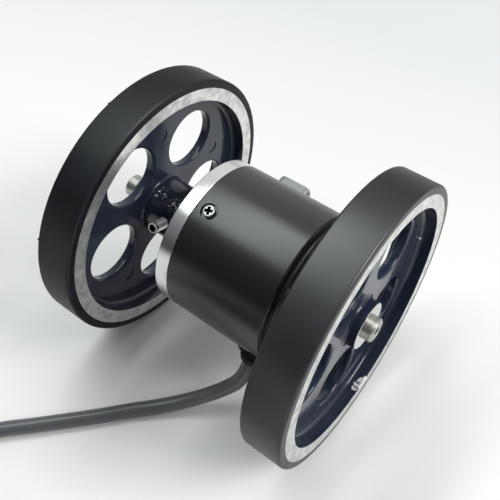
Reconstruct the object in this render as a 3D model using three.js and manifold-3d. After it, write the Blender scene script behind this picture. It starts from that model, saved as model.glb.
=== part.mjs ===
import * as THREE from 'three';
import { mergeVertices } from 'three/addons/utils/BufferGeometryUtils.js';
import Module from 'manifold-3d';

// Encoder measuring wheel: two rubber-tyred wheels fixed on one through shaft, and between them
// the round body of a rotary encoder, with its mounting pad and its signal cable.
// Millimetres. X runs along the shaft to the right wheel, Y to the back and Z up.
// The floor is z = 0, and x = 0 is the middle of the shaft.
// Angles about the shaft are in degrees from +Y (the back) towards +Z (the top).

const wasm = await Module();
wasm.setup();

// Wheels and tyres: one turn of a tyre measures the rolling circumference
const rollingCircumference = 300;
const wheelWidth = 13.6;
const leftWheelOffset = 31.05;
const tyreThickness = 2.8;
const tyreShoulder = 0.8;
const tyreSeatGap = 0.05;
const rimThickness = 4.6;
const webThickness = 3.6;
const rimFillet = 1.2;
const wheelHoleCount = 5;
const wheelHoleRadius = 10.3;
const wheelHoleCircleRadius = 24.4;
const wheelHoleEdge = 0.7;
const bossRadius = 10;
const bossReach = 7;
const bossCoverGap = 1.05;
const stubRadius = 8;
const stubRecess = 1;
const hubFillet = 1.5;
const hubChamfer = 0.5;
const leftFirstHoleAngle = 46;
const rightFirstHoleAngle = 34;
const wheelSegments = 40;
const wheelHoleSegments = 16;

// Set screw that locks each wheel's boss on the shaft
const wheelScrewRadius = 2;
const wheelScrewLength = 11;
const wheelScrewFromFace = 4;
const wheelScrewAngleFromHole = 112;
const wheelScrewSocket = 2;
const wheelScrewSocketDepth = 2;
const wheelScrewSegments = 12;

// Shaft
const shaftLength = 100;
const shaftRadius = 4;
const shaftChamfer = 0.5;
const centreDrillRadius = 1.3;
const centreDrillDepth = 1.6;
const shaftSegments = 24;
const screwSegments = 8;
const arcSteps = 2;

// Deep-groove ball bearings, 8 mm bore
const bearingRadius = 11;
const bearingWidth = 7;
const ballCount = 7;
const ballRadius = 1.985;
const ballSegments = 7;
const ballBands = 4;
const ballCircleRadius = 7.5;
const raceShoulderDrop = 0.6;
const raceFloorShare = 0.5;
const raceMouthShare = Math.sin(Math.PI / 3);
const cageWidth = 1.8;
const cageThickness = 0.9;
const spacerWall = 1.5;

// Retaining clips in the shaft, outside the bearing pair
const clipThickness = 0.8;
const clipRim = 1.7;
const clipGrooveDepth = 0.25;
const clipOpeningAngle = 70;
const clipSegments = 12;

// Aluminium front housing: a flange, the spigot that the cover sits on, and the bearing hub
const flangeFace = -15.55;
const flangeThickness = 4.8;
const flangeChamfer = 0.3;
const bodyRadius = 26;
const spigotLength = 8.75;
const hubWall = 3;
const bearingRecess = 0.5;
const bearingPitch = 18.05;
const bearingLip = 1.5;
const bodySegments = 40;

// Cover: a cup with an end wall, a low step round the shaft's way out, and the mounting pad
const coverLength = 35.7;
const coverWall = 2;
const coverEndWall = 2.5;
const coverChamfer = 0.4;
const coverStepWidth = 2.5;
const coverStepHeight = 1.5;
const sealRadius = 8;
const padReach = 30;
const padWidth = 12;
const padHeight = 16;
const padCorner = 2;
const padCornerSegments = 3;
const padHoleRadius = 1.25;
const padHoleDepth = 4.5;
const padHoleSpacing = 9;

// Three screws that hold the cover on the spigot
const coverScrewAngles = [110.8, 230.8, 350.8];
const coverScrewFromFlange = 4.7;
const coverScrewRadius = 1;
const coverScrewHeadRadius = 1.95;
const coverScrewHeadHeight = 1.5;
const coverScrewDomeShare = 1 / 3;
const coverScrewTopShare = 0.7;
const coverScrewRecessRadius = 2.7;
const coverScrewRecessDepth = 1;
const coverScrewReach = 6;

// Code disc and the hub that carries it on the shaft
const discHubStart = 11.7;
const discHubRadius = 7;
const discHubFlange = 4.75;
const discPilotRadius = 5;
const discPilotLength = 3.4;
const discInset = 5.2;
const discThickness = 1;
const discScrewRadius = 1.25;
const discSegments = 32;

// Circuit board on three posts
const boardStart = 11.5;
const boardThickness = 1.6;
const boardEdgeGap = 0.8;
const boardHoleRadius = 8.5;
const postRadius = 2.4;
const postHubGap = 0.6;
const postAngles = [30, 150, 270];
const postStudLength = 4;
const boardScrewRadius = 1.2;
const boardScrewLength = 5;
const boardScrewHeadRadius = 2.2;
const boardScrewHeadHeight = 1.5;

// Slotted optical sensor astride the disc's rim, and the cable's connector on the board
const sensorWidth = 8;
const sensorHubGap = 3;
const sensorTopInset = 1.7;
const sensorSlotGap = 0.4;
const sensorRimGap = 0.6;
const sensorJaw = 3.1;
const sensorAngle = 90;
const lensRadius = 1.5;
const connectorAngle = 200;
const connectorLength = 10;
const connectorDepth = 3.2;
const connectorHeight = 5;
const connectorInset = 2.8;

// Cable bush in the cover's side
const bushAlong = 17.45;
const bushAngle = 232;
const bushFlangeRadius = 6.2;
const bushFlangeThickness = 1.5;
const bushNeckRadius = 3;
const bushCollarRadius = 3.9;
const bushCollarThickness = 1.7;
const bushLength = 5.5;
const bushBodyRadius = 4;
const bushBulge = 0.4;
const bushMouthRadius = 3.6;
const bushMouthDepth = 1.5;
const bushMouthGap = 0.5;
const bushSegments = 16;

// Signal cable
const cableRadius = 2.5;
const cableSides = 10;
const cableSteps = 20;
const cableStraightOut = 2;
const coilSides = 6;
const coilStepsPerTurn = 22;
const turnsPerLayer = 2;
const coilTurns = 11.5;
const coilInnerRadius = 20;
const turnPitch = 5.5;
const layerPitch = 5.5;
const climbTurns = 0.5;
const coilCentre = [-20, -132.2];
const coilHeadingAngle = 270;
const cableHeight = 2.6;
const coilSamplesPerTurn = 96;
const leadLength = 32;
const leadRadius = 0.45;
const leadSpacing = 1.45;
const leadFan = 3.9;
const leadRestGap = 0.1;
const leadStartGap = 0.5;
const leadSides = 8;
const leadSteps = 4;

// Each conductor's colour, its place in the cable, outwards and upwards, and its tip's in the fan
const leads = {
  brown: { colour: 0x6b4023, outShare: 1, upShare: 0, tipShare: 1 },
  blue: { colour: 0x1f4f9c, outShare: 0, upShare: 1, tipShare: 0 },
  black: { colour: 0x161616, outShare: -1, upShare: 0, tipShare: -1 / 3 },
  white: { colour: 0xe9e9e6, outShare: 0, upShare: -1, tipShare: 2 / 3 },
  orange: { colour: 0xd9701c, outShare: 0, upShare: 0, tipShare: 1 / 3 },
};

// Clearances
const runningGap = 0.05;
const seatGap = 0.05;
const screwGap = 0.1;
const discEdgeGap = 0.05;
const bushGap = 0.3;
const ballGap = 0.06;
const jointGap = 0.3;
const cutOverrun = 1;
const weldTolerance = 1e-4;

const tyreRadius = rollingCircumference / (2 * Math.PI);
const rimRadius = tyreRadius - tyreThickness;
const rimInnerRadius = rimRadius - rimThickness;
const webInnerFace = (wheelWidth - webThickness) / 2;
const webOuterFace = (wheelWidth + webThickness) / 2;
const shaftBoreRadius = shaftRadius + runningGap;
const spigotStart = flangeFace + flangeThickness;
const spigotEnd = spigotStart + spigotLength;
const coverInnerRadius = bodyRadius - coverWall;
const coverStepRadius = bodyRadius - coverStepWidth;
const coverEnd = spigotStart + coverLength;
const rightWheelOffset = coverEnd + coverStepHeight + bossCoverGap + bossReach;
const coverScrewAlong = spigotStart + coverScrewFromFlange;
const frontBearingAlong = flangeFace + bearingRecess + bearingWidth / 2;
const rearBearingAlong = frontBearingAlong + bearingPitch;
const hubEnd = rearBearingAlong + bearingWidth / 2;
const hubRadius = bearingRadius + hubWall;
const postCircleRadius = hubRadius + postRadius + postHubGap;
const boardRadius = coverInnerRadius - boardEdgeGap;
const boardEnd = boardStart + boardThickness;
const discStart = discHubStart + discHubFlange + seatGap;
const discEnd = discStart + discThickness;
const discRadius = boardRadius - discInset;
const sensorFoot = discHubRadius + sensorHubGap;
const sensorTop = boardRadius - sensorTopInset;
const lensRadialPlace = (sensorFoot + discRadius) / 2;
const connectorRadialPlace = boardRadius - connectorInset;
const bushEnd = bodyRadius + bushLength;

const radians = THREE.MathUtils.degToRad;

// Closed mesh with shared corners, without the flat slivers that a revolve leaves on its axis
function welded(geometry) {
  const bare = geometry.clone();
  bare.deleteAttribute('normal');
  bare.deleteAttribute('uv');
  const merged = mergeVertices(bare, weldTolerance);
  const corners = [];
  for (let i = 0; i < merged.index.count; i += 3) {
    const [a, b, c] = [0, 1, 2].map((k) => merged.index.getX(i + k));
    if (a !== b && b !== c && c !== a) corners.push(a, b, c);
  }
  merged.setIndex(corners);
  return merged;
}

function solid(geometry) {
  const mesh = welded(geometry);
  return new wasm.Manifold(new wasm.Mesh({
    numProp: 3,
    vertProperties: new Float32Array(mesh.attributes.position.array),
    triVerts: new Uint32Array(mesh.index.array),
  }));
}

function geometryOf(body) {
  const mesh = body.getMesh();
  const geometry = new THREE.BufferGeometry();
  geometry.setAttribute('position', new THREE.BufferAttribute(mesh.vertProperties, 3));
  geometry.setIndex(new THREE.BufferAttribute(mesh.triVerts, 1));
  geometry.computeVertexNormals();
  return geometry;
}

function joined(first, ...others) {
  return geometryOf(others.reduce((body, other) => body.add(solid(other)), solid(first)));
}

function cut(body, ...cutters) {
  return geometryOf(cutters.reduce((rest, cutter) => rest.subtract(solid(cutter)), solid(body)));
}

// Revolve of a closed outline of [distance along the axis, radius] points about Y
function revolved(outline, segments) {
  const points = outline.map(([along, radius]) => new THREE.Vector2(radius, along));
  if (THREE.ShapeUtils.area(points) < 0) points.reverse();
  points.push(points[0].clone());
  return welded(new THREE.LatheGeometry(points, segments));
}

// Revolve about the shaft's line, from a start along X
function turned(outline, segments, along = 0) {
  return revolved(outline, segments).rotateZ(-Math.PI / 2).translate(along, 0, 0);
}

// Plain disc, ring or rod outline between two places along the axis
function ring(start, end, inner, outer) {
  return [[start, inner], [start, outer], [end, outer], [end, inner]];
}

// Round corner of an outline: an arc about [along, radius] in degrees, both ends included
function arc([along, radius], size, from, to, steps) {
  return Array.from({ length: steps + 1 }, (_, i) => {
    const angle = radians(from + ((to - from) * i) / steps);
    return [along + size * Math.cos(angle), radius + size * Math.sin(angle)];
  });
}

// Turns a geometry built along +Y out along a radius of the shaft at an angle
function radial(geometry, along, angle) {
  return geometry.rotateX(radians(angle)).translate(along, 0, 0);
}

// Moves a geometry built along +X from the shaft's line out to a radius at an angle
function offAxis(geometry, distance, angle) {
  return geometry.translate(0, distance * Math.cos(radians(angle)), distance * Math.sin(radians(angle)));
}

function finish(colour, roughness, metalness) {
  return new THREE.MeshStandardMaterial({ color: colour, roughness, metalness });
}

const finishes = {
  bareSteel: () => finish(0xc9cbcd, 0.3, 1),
  brightSteel: () => finish(0xd8dadc, 0.2, 1),
  blackScrew: () => finish(0x2b2b2d, 0.4, 0.8),
  turnedAluminium: () => finish(0xd4d6d8, 0.32, 1),
  blackCasting: () => finish(0x101114, 0.22, 0.2),
  blackCover: () => finish(0x17181b, 0.48, 0.2),
  rubber: () => finish(0x1b1b1c, 0.85, 0),
  brass: () => finish(0xb9995a, 0.35, 1),
  glass: () => finish(0xcfd8d6, 0.08, 0),
  boardGreen: () => finish(0x1f5a3a, 0.55, 0),
  blackPlastic: () => finish(0x1c1c1e, 0.6, 0),
  whitePlastic: () => finish(0xe6e4dc, 0.55, 0),
  greySheath: () => finish(0x6f7274, 0.6, 0),
};

// Pieces on the shaft's line go in this group, which lifts them to the wheels' rolling radius
const measuringWheel = new THREE.Group();
const axle = new THREE.Group();
axle.position.z = tyreRadius;
measuringWheel.add(axle);

function addPart(group, name, geometry, material) {
  const mesh = new THREE.Mesh(geometry, material);
  mesh.name = name;
  group.add(mesh);
}

// Wheel casting as one outline: boss, web and outer stub in the rim's ring, with cast fillets.
// The outline runs from the inner face (0) to the outer face (wheelWidth).
function wheelOutline() {
  return [
    [-bossReach, shaftBoreRadius],
    [-bossReach, bossRadius - hubChamfer],
    [hubChamfer - bossReach, bossRadius],
    ...arc([webInnerFace - hubFillet, bossRadius + hubFillet], hubFillet, -90, 0, arcSteps),
    ...arc([webInnerFace - rimFillet, rimInnerRadius - rimFillet], rimFillet, 0, 90, arcSteps),
    [0, rimInnerRadius],
    [0, rimRadius],
    [wheelWidth, rimRadius],
    [wheelWidth, rimInnerRadius],
    ...arc([webOuterFace + rimFillet, rimInnerRadius - rimFillet], rimFillet, 90, 180, arcSteps),
    ...arc([webOuterFace + hubFillet, stubRadius + hubFillet], hubFillet, 180, 270, arcSteps),
    [wheelWidth - stubRecess - hubChamfer, stubRadius],
    [wheelWidth - stubRecess, stubRadius - hubChamfer],
    [wheelWidth - stubRecess, shaftBoreRadius],
  ];
}

// Cutter for one web hole, widened at both faces to the hole's rounded edge
function wheelHole() {
  const half = webThickness / 2;
  return turned([
    [-half - cutOverrun, 0],
    [-half - cutOverrun, wheelHoleRadius + wheelHoleEdge],
    [-half, wheelHoleRadius + wheelHoleEdge],
    [wheelHoleEdge - half, wheelHoleRadius],
    [half - wheelHoleEdge, wheelHoleRadius],
    [half, wheelHoleRadius + wheelHoleEdge],
    [half + cutOverrun, wheelHoleRadius + wheelHoleEdge],
    [half + cutOverrun, 0],
  ], wheelHoleSegments);
}

// Wheel, tyre and set screw; side is -1 for the left wheel and 1 for the right one
function addWheel(sideName, side, offset, firstHoleAngle) {
  const place = ([along, radius]) => [side * (offset + along), radius];
  const webMiddle = side * (offset + wheelWidth / 2);
  const screwAlong = side * (offset - wheelScrewFromFace);
  const screwAngle = firstHoleAngle + wheelScrewAngleFromHole;
  const holes = Array.from({ length: wheelHoleCount }, (_, i) => offAxis(
    wheelHole().translate(webMiddle, 0, 0),
    wheelHoleCircleRadius,
    firstHoleAngle + (360 / wheelHoleCount) * i,
  ));
  const screwHole = revolved(
    ring(0, bossRadius + cutOverrun, 0, wheelScrewRadius + screwGap),
    wheelScrewSegments,
  );
  const casting = turned(wheelOutline().map(place), wheelSegments);
  addPart(axle, `wheel_${sideName}`,
    cut(casting, ...holes, radial(screwHole, screwAlong, screwAngle)), finishes.blackCasting());

  const tyreInner = rimRadius + tyreSeatGap;
  const shoulderCentre = tyreRadius - tyreShoulder;
  const tyre = [
    [0, tyreInner],
    ...arc([tyreShoulder, shoulderCentre], tyreShoulder, 180, 90, arcSteps),
    ...arc([wheelWidth - tyreShoulder, shoulderCentre], tyreShoulder, 90, 0, arcSteps),
    [wheelWidth, tyreInner],
  ];
  addPart(axle, `tyre_${sideName}`, turned(tyre.map(place), wheelSegments), finishes.rubber());

  const screwStart = shaftRadius + screwGap;
  const screwEnd = screwStart + wheelScrewLength;
  const screw = revolved([
    [screwStart, 0],
    [screwStart, wheelScrewRadius / 2],
    [screwStart + wheelScrewRadius / 2, wheelScrewRadius],
    [screwEnd, wheelScrewRadius],
    [screwEnd, 0],
  ], wheelScrewSegments);
  const socketRadius = wheelScrewSocket / (2 * Math.cos(Math.PI / 6));
  const socket = revolved(
    ring(screwEnd - wheelScrewSocketDepth, screwEnd + cutOverrun, 0, socketRadius),
    6,
  );
  addPart(axle, `wheel_screw_${sideName}`,
    radial(cut(screw, socket), screwAlong, screwAngle), finishes.bareSteel());
}

// Shaft with chamfered, centre-drilled ends and the two clip grooves
function addShaft(frontClipAlong, rearClipAlong) {
  const half = shaftLength / 2;
  const grooveHalf = clipThickness / 2 + seatGap;
  const grooveRadius = shaftRadius - clipGrooveDepth;
  const groove = (along) => [
    [along - grooveHalf, shaftRadius],
    [along - grooveHalf, grooveRadius],
    [along + grooveHalf, grooveRadius],
    [along + grooveHalf, shaftRadius],
  ];
  addPart(axle, 'shaft', turned([
    [centreDrillDepth - half, 0],
    [-half, centreDrillRadius],
    [-half, shaftRadius - shaftChamfer],
    [shaftChamfer - half, shaftRadius],
    ...groove(frontClipAlong),
    ...groove(rearClipAlong),
    [half - shaftChamfer, shaftRadius],
    [half, shaftRadius - shaftChamfer],
    [half, centreDrillRadius],
    [half - centreDrillDepth, 0],
  ], shaftSegments), finishes.bareSteel());
}

// Open ring snapped into a shaft groove
function addClip(name, along) {
  const inner = shaftRadius - clipGrooveDepth + seatGap;
  const opening = radians(clipOpeningAngle);
  const outline = new THREE.Shape();
  outline.absarc(0, 0, shaftRadius + clipRim, opening / 2, 2 * Math.PI - opening / 2, false);
  outline.absarc(0, 0, inner, 2 * Math.PI - opening / 2, opening / 2, true);
  const clip = new THREE.ExtrudeGeometry(outline, {
    depth: clipThickness, bevelEnabled: false, curveSegments: clipSegments,
  });
  addPart(axle, name,
    welded(clip.rotateY(Math.PI / 2).translate(along - clipThickness / 2, 0, 0)), finishes.blackScrew());
}

// Ball bearing: two grooved rings, and the cage that carries the balls round between them
function addBearing(name, along) {
  const half = bearingWidth / 2;
  const raceReach = ballRadius + ballGap;
  const facetShare = 1 / Math.cos(Math.PI / shaftSegments);
  const shoulder = ballRadius - raceShoulderDrop;
  const mouthHalf = raceReach * raceMouthShare;
  const floorHalf = raceReach * raceFloorShare;
  const innerShoulder = ballCircleRadius - shoulder;
  const innerFloor = ballCircleRadius - raceReach;
  const outerShoulder = ballCircleRadius + shoulder;
  const outerFloor = (ballCircleRadius + raceReach) * facetShare;
  const race = (shoulderRadius, floorRadius) => [
    [half, shoulderRadius],
    [mouthHalf, shoulderRadius],
    [floorHalf, floorRadius],
    [-floorHalf, floorRadius],
    [-mouthHalf, shoulderRadius],
    [-half, shoulderRadius],
  ];
  addPart(axle, `${name}_inner_ring`, turned([
    ...race(innerShoulder, innerFloor),
    [-half, shaftBoreRadius],
    [half, shaftBoreRadius],
  ], shaftSegments, along), finishes.brightSteel());
  addPart(axle, `${name}_outer_ring`, turned([
    ...race(outerShoulder, outerFloor),
    [-half, bearingRadius],
    [half, bearingRadius],
  ], shaftSegments, along), finishes.brightSteel());
  const cage = turned(
    ring(-cageWidth / 2, cageWidth / 2,
      ballCircleRadius - cageThickness / 2, ballCircleRadius + cageThickness / 2),
    ballCount * 2, along,
  );
  const balls = Array.from({ length: ballCount }, (_, i) => offAxis(
    new THREE.SphereGeometry(ballRadius, ballSegments, ballBands).translate(along, 0, 0),
    ballCircleRadius,
    (360 / ballCount) * i,
  ));
  addPart(axle, `${name}_cage_and_balls`, joined(cage, ...balls), finishes.brass());
}

// Turned aluminium housing: both bearing seats open outwards, with a shoulder between them
function addFrontHousing() {
  const spigotRadius = coverInnerRadius - runningGap;
  const seatRadius = bearingRadius + runningGap;
  const frontSeatEnd = frontBearingAlong + bearingWidth / 2 + seatGap;
  const rearSeatStart = rearBearingAlong - bearingWidth / 2 - seatGap;
  const housing = turned([
    [flangeFace, seatRadius],
    [flangeFace, bodyRadius - flangeChamfer],
    [flangeFace + flangeChamfer, bodyRadius],
    [spigotStart, bodyRadius],
    [spigotStart, spigotRadius],
    [spigotEnd, spigotRadius],
    [spigotEnd, hubRadius],
    [hubEnd, hubRadius],
    [hubEnd, seatRadius],
    [rearSeatStart, seatRadius],
    [rearSeatStart, bearingRadius - bearingLip],
    [frontSeatEnd, bearingRadius - bearingLip],
    [frontSeatEnd, seatRadius],
  ], bodySegments);
  const screwHole = ring(
    coverInnerRadius - coverScrewReach - cutOverrun, bodyRadius, 0, coverScrewRadius + screwGap,
  );
  const screwHoles = coverScrewAngles.map((angle) => radial(
    revolved(screwHole, screwSegments), coverScrewAlong, angle));
  const studHole = ring(
    spigotEnd - postStudLength - screwGap, spigotEnd + cutOverrun, 0, boardScrewRadius + screwGap,
  );
  const studHoles = postAngles.map((angle) => offAxis(
    turned(studHole, screwSegments), postCircleRadius, angle));
  addPart(axle, 'front_housing', cut(housing, ...screwHoles, ...studHoles), finishes.turnedAluminium());
}

// Rounded block that stands out of the cover's back
function padBlock() {
  const [halfWidth, halfHeight] = [padWidth / 2, padHeight / 2];
  const outline = new THREE.Shape();
  outline.absarc(halfWidth - padCorner, halfHeight - padCorner, padCorner, 0, Math.PI / 2);
  outline.absarc(padCorner - halfWidth, halfHeight - padCorner, padCorner, Math.PI / 2, Math.PI);
  outline.absarc(padCorner - halfWidth, padCorner - halfHeight, padCorner, Math.PI, Math.PI * 1.5);
  outline.absarc(halfWidth - padCorner, padCorner - halfHeight, padCorner, Math.PI * 1.5, Math.PI * 2);
  const block = new THREE.ExtrudeGeometry(outline, {
    depth: padReach - coverInnerRadius, bevelEnabled: false, curveSegments: padCornerSegments,
  });
  return block.rotateX(-Math.PI / 2).translate(0, coverInnerRadius, 0);
}

function addCover() {
  const start = spigotStart + seatGap;
  const shell = turned([
    [start, 0],
    [start, bodyRadius],
    [coverEnd - coverChamfer, bodyRadius],
    [coverEnd, bodyRadius - coverChamfer],
    [coverEnd, coverStepRadius],
    [coverEnd + coverStepHeight, coverStepRadius],
    [coverEnd + coverStepHeight, 0],
  ], bodySegments);
  const cavity = turned(
    ring(start - cutOverrun, coverEnd - coverEndWall, 0, coverInnerRadius), bodySegments,
  );
  const shaftWay = turned(
    ring(coverEnd - coverEndWall - cutOverrun, coverEnd + coverStepHeight + cutOverrun, 0,
      sealRadius + seatGap),
    shaftSegments,
  );
  const padHoles = [-1, 1].map((end) => revolved(
    ring(padReach - padHoleDepth, padReach + cutOverrun, 0, padHoleRadius), screwSegments,
  ).translate(0, 0, (end * padHoleSpacing) / 2));
  const screwWays = coverScrewAngles.flatMap((angle) => [
    revolved(ring(coverInnerRadius - cutOverrun, bodyRadius, 0, coverScrewRadius + screwGap),
      screwSegments),
    revolved(ring(bodyRadius - coverScrewRecessDepth, bodyRadius + cutOverrun, 0, coverScrewRecessRadius),
      bushSegments),
  ].map((way) => radial(way, coverScrewAlong, angle)));
  const bushWay = radial(
    revolved(ring(coverInnerRadius - cutOverrun * 2, bodyRadius + cutOverrun, 0, bushNeckRadius + bushGap),
      bushSegments),
    bushAlong, bushAngle,
  );
  addPart(axle, 'cover',
    cut(joined(shell, padBlock()), cavity, shaftWay, ...padHoles, ...screwWays, bushWay),
    finishes.blackCover());
}

function addCoverScrews() {
  const headStart = bodyRadius - coverScrewRecessDepth + seatGap;
  const headEnd = headStart + coverScrewHeadHeight;
  const tip = coverInnerRadius - coverScrewReach;
  coverScrewAngles.forEach((angle, i) => {
    const screw = revolved([
      [tip, 0],
      [tip, coverScrewRadius],
      [headStart, coverScrewRadius],
      [headStart, coverScrewHeadRadius],
      [headEnd - coverScrewHeadHeight * coverScrewDomeShare, coverScrewHeadRadius],
      [headEnd, coverScrewHeadRadius * coverScrewTopShare],
      [headEnd, 0],
    ], screwSegments);
    addPart(axle, `cover_screw_${i + 1}`, radial(screw, coverScrewAlong, angle), finishes.bareSteel());
  });
}

// Dust seal in the cover's end, lipped on the shaft
function addShaftSeal() {
  addPart(axle, 'shaft_seal', turned(
    ring(coverEnd - coverEndWall + seatGap, coverEnd + coverStepHeight - seatGap,
      shaftBoreRadius, sealRadius),
    shaftSegments,
  ), finishes.rubber());
}

// Code disc on its hub's pilot, and the small set screw that locks the hub
function addCodeDisc() {
  const flangeEnd = discHubStart + discHubFlange;
  const screwAlong = (boardEnd + flangeEnd) / 2;
  const hub = turned([
    [discHubStart, shaftBoreRadius],
    [discHubStart, discHubRadius],
    [flangeEnd, discHubRadius],
    [flangeEnd, discPilotRadius],
    [flangeEnd + discPilotLength, discPilotRadius],
    [flangeEnd + discPilotLength, shaftBoreRadius],
  ], shaftSegments);
  const screwHole = revolved(
    ring(0, discHubRadius + cutOverrun, 0, discScrewRadius + screwGap), screwSegments,
  );
  addPart(axle, 'disc_hub', cut(hub, radial(screwHole, screwAlong, 0)), finishes.brass());
  const screw = revolved(
    ring(shaftRadius + screwGap, discHubRadius - screwGap, 0, discScrewRadius), screwSegments,
  );
  addPart(axle, 'disc_hub_screw', radial(screw, screwAlong, 0), finishes.blackScrew());
  addPart(axle, 'code_disc', turned(
    ring(discStart, discEnd, discPilotRadius + discEdgeGap, discRadius), discSegments,
  ), finishes.glass());
}

function addCircuitBoard() {
  const board = turned(ring(boardStart, boardEnd, boardHoleRadius, boardRadius), discSegments);
  const way = ring(boardStart - cutOverrun, boardEnd + cutOverrun, 0, boardScrewRadius + screwGap);
  const ways = postAngles.map((angle) => offAxis(
    turned(way, screwSegments), postCircleRadius, angle));
  addPart(axle, 'circuit_board', cut(board, ...ways), finishes.boardGreen());

  const postStart = spigotEnd + seatGap;
  const postEnd = boardStart - seatGap;
  const screwTip = boardEnd + seatGap - boardScrewLength;
  const post = [
    [postStart - postStudLength, 0],
    [postStart - postStudLength, boardScrewRadius],
    [postStart, boardScrewRadius],
    [postStart, postRadius],
    [postEnd, postRadius],
    [postEnd, boardScrewRadius + screwGap],
    [screwTip - screwGap, boardScrewRadius + screwGap],
    [screwTip - screwGap, 0],
  ];
  const headStart = boardEnd + seatGap;
  const screw = [
    [screwTip, 0],
    [screwTip, boardScrewRadius],
    [headStart, boardScrewRadius],
    [headStart, boardScrewHeadRadius],
    [headStart + boardScrewHeadHeight, boardScrewHeadRadius],
    [headStart + boardScrewHeadHeight, 0],
  ];
  postAngles.forEach((angle, i) => {
    addPart(axle, `board_post_${i + 1}`,
      offAxis(turned(post, screwSegments), postCircleRadius, angle), finishes.brass());
    addPart(axle, `board_screw_${i + 1}`,
      offAxis(turned(screw, screwSegments), postCircleRadius, angle), finishes.bareSteel());
  });
}

// Moulded U astride the disc's rim: the lamp shines from one jaw to the receiver in the other
function addSensor() {
  const start = boardEnd + seatGap;
  const lowerJawEnd = discStart - sensorSlotGap;
  const upperJawStart = discEnd + sensorSlotGap;
  const upperJawEnd = upperJawStart + sensorJaw;
  const slotTop = discRadius + sensorRimGap;
  const outline = new THREE.Shape([
    [start, sensorFoot],
    [lowerJawEnd, sensorFoot],
    [lowerJawEnd, slotTop],
    [upperJawStart, slotTop],
    [upperJawStart, sensorFoot],
    [upperJawEnd, sensorFoot],
    [upperJawEnd, sensorTop],
    [start, sensorTop],
  ].map(([along, height]) => new THREE.Vector2(along, height)));
  const block = new THREE.ExtrudeGeometry(outline, { depth: sensorWidth, bevelEnabled: false });
  block.rotateX(Math.PI / 2).translate(0, sensorWidth / 2, 0).rotateX(radians(sensorAngle - 90));
  const lensWay = offAxis(
    turned(ring(start - cutOverrun, upperJawEnd + cutOverrun, 0, lensRadius + screwGap), screwSegments),
    lensRadialPlace, sensorAngle,
  );
  addPart(axle, 'sensor_block', cut(block, lensWay), finishes.blackPlastic());
  const lens = (from, to) => offAxis(
    turned(ring(from, to, 0, lensRadius), screwSegments), lensRadialPlace, sensorAngle);
  addPart(axle, 'light_receiver', lens(start, lowerJawEnd), finishes.blackPlastic());
  addPart(axle, 'lamp', lens(upperJawStart, upperJawEnd), finishes.glass());
}

function addConnector() {
  const box = new THREE.BoxGeometry(connectorHeight, connectorDepth, connectorLength);
  box.translate(boardEnd + seatGap + connectorHeight / 2, connectorRadialPlace, 0);
  addPart(axle, 'board_connector', welded(box.rotateX(radians(connectorAngle))), finishes.whitePlastic());
}

// Flexible bush: a collar inside the cover's wall, a flange outside it and a bulged sleeve
function addCableBush() {
  const flangeStart = bodyRadius + bushGap / 2;
  const flangeEnd = flangeStart + bushFlangeThickness;
  const collarEnd = coverInnerRadius - bushGap * 2;
  const bore = cableRadius + bushMouthGap;
  const bush = revolved([
    [collarEnd - bushCollarThickness, 0],
    [collarEnd - bushCollarThickness, bushCollarRadius],
    [collarEnd, bushCollarRadius],
    [collarEnd, bushNeckRadius],
    [flangeStart, bushNeckRadius],
    [flangeStart, bushFlangeRadius],
    [flangeEnd, bushFlangeRadius],
    [flangeEnd, bushBodyRadius],
    [(flangeEnd + bushEnd) / 2, bushBodyRadius + bushBulge],
    [bushEnd, bushMouthRadius],
    [bushEnd, bore],
    [bushEnd - bushMouthDepth, bore],
    [bushEnd - bushMouthDepth, 0],
  ], bushSegments);
  addPart(axle, 'cable_bush', radial(bush, bushAlong, bushAngle), finishes.blackPlastic());
}

// Point on the cable bush's middle line, in the floor's frame
function outOfBush(distance) {
  const angle = radians(bushAngle);
  return [bushAlong, distance * Math.cos(angle), tyreRadius + distance * Math.sin(angle)];
}

// Cable straight out of the bush's mouth, down to the floor and out to the coil
const cableRoute = [
  outOfBush(bushEnd - bushMouthDepth + jointGap),
  outOfBush(bushEnd + cableStraightOut),
  [17.15, -22.5, 18.7],
  [16.0, -24.6, 15.5],
  [13.6, -26.9, 12.4],
  [10.4, -29.8, 9.5],
  [6.7, -33.2, 7.1],
  [2.8, -36.8, 5.2],
  [-1.2, -40.5, 3.8],
  [-5.6, -44.7, 2.9],
  [-10.4, -49.4, 2.6],
  [-17.9, -57.6, 2.6],
  [-25.6, -65.6, 2.6],
  [-33.4, -73.5, 2.6],
  [-41.3, -81.4, 2.6],
  [-46.6, -88.2, 2.6],
  [-49.9, -96.2, 2.6],
  [-51.0, -104.7, 2.6],
  [-51.0, -115.0, 2.6],
];

// Middle of the cable after a number of turns. It winds in and out again at a steady rate, and
// climbs a layer within the half turn where the spiral reverses.
function coilPoint(turns) {
  const layer = Math.floor(turns / turnsPerLayer);
  const within = turns / turnsPerLayer - layer;
  const outwardShare = layer % 2 ? within : 1 - within;
  const radius = coilInnerRadius + turnsPerLayer * turnPitch * outwardShare;
  const angle = radians(coilHeadingAngle - 90) + turns * 2 * Math.PI;
  let climbed = 0;
  for (let reversal = turnsPerLayer; reversal < coilTurns; reversal += turnsPerLayer) {
    climbed += THREE.MathUtils.clamp((turns - reversal) / climbTurns + 1 / 2, 0, 1);
  }
  return new THREE.Vector3(
    coilCentre[0] + radius * Math.cos(angle),
    coilCentre[1] + radius * Math.sin(angle),
    cableHeight + climbed * layerPitch,
  );
}

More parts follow.
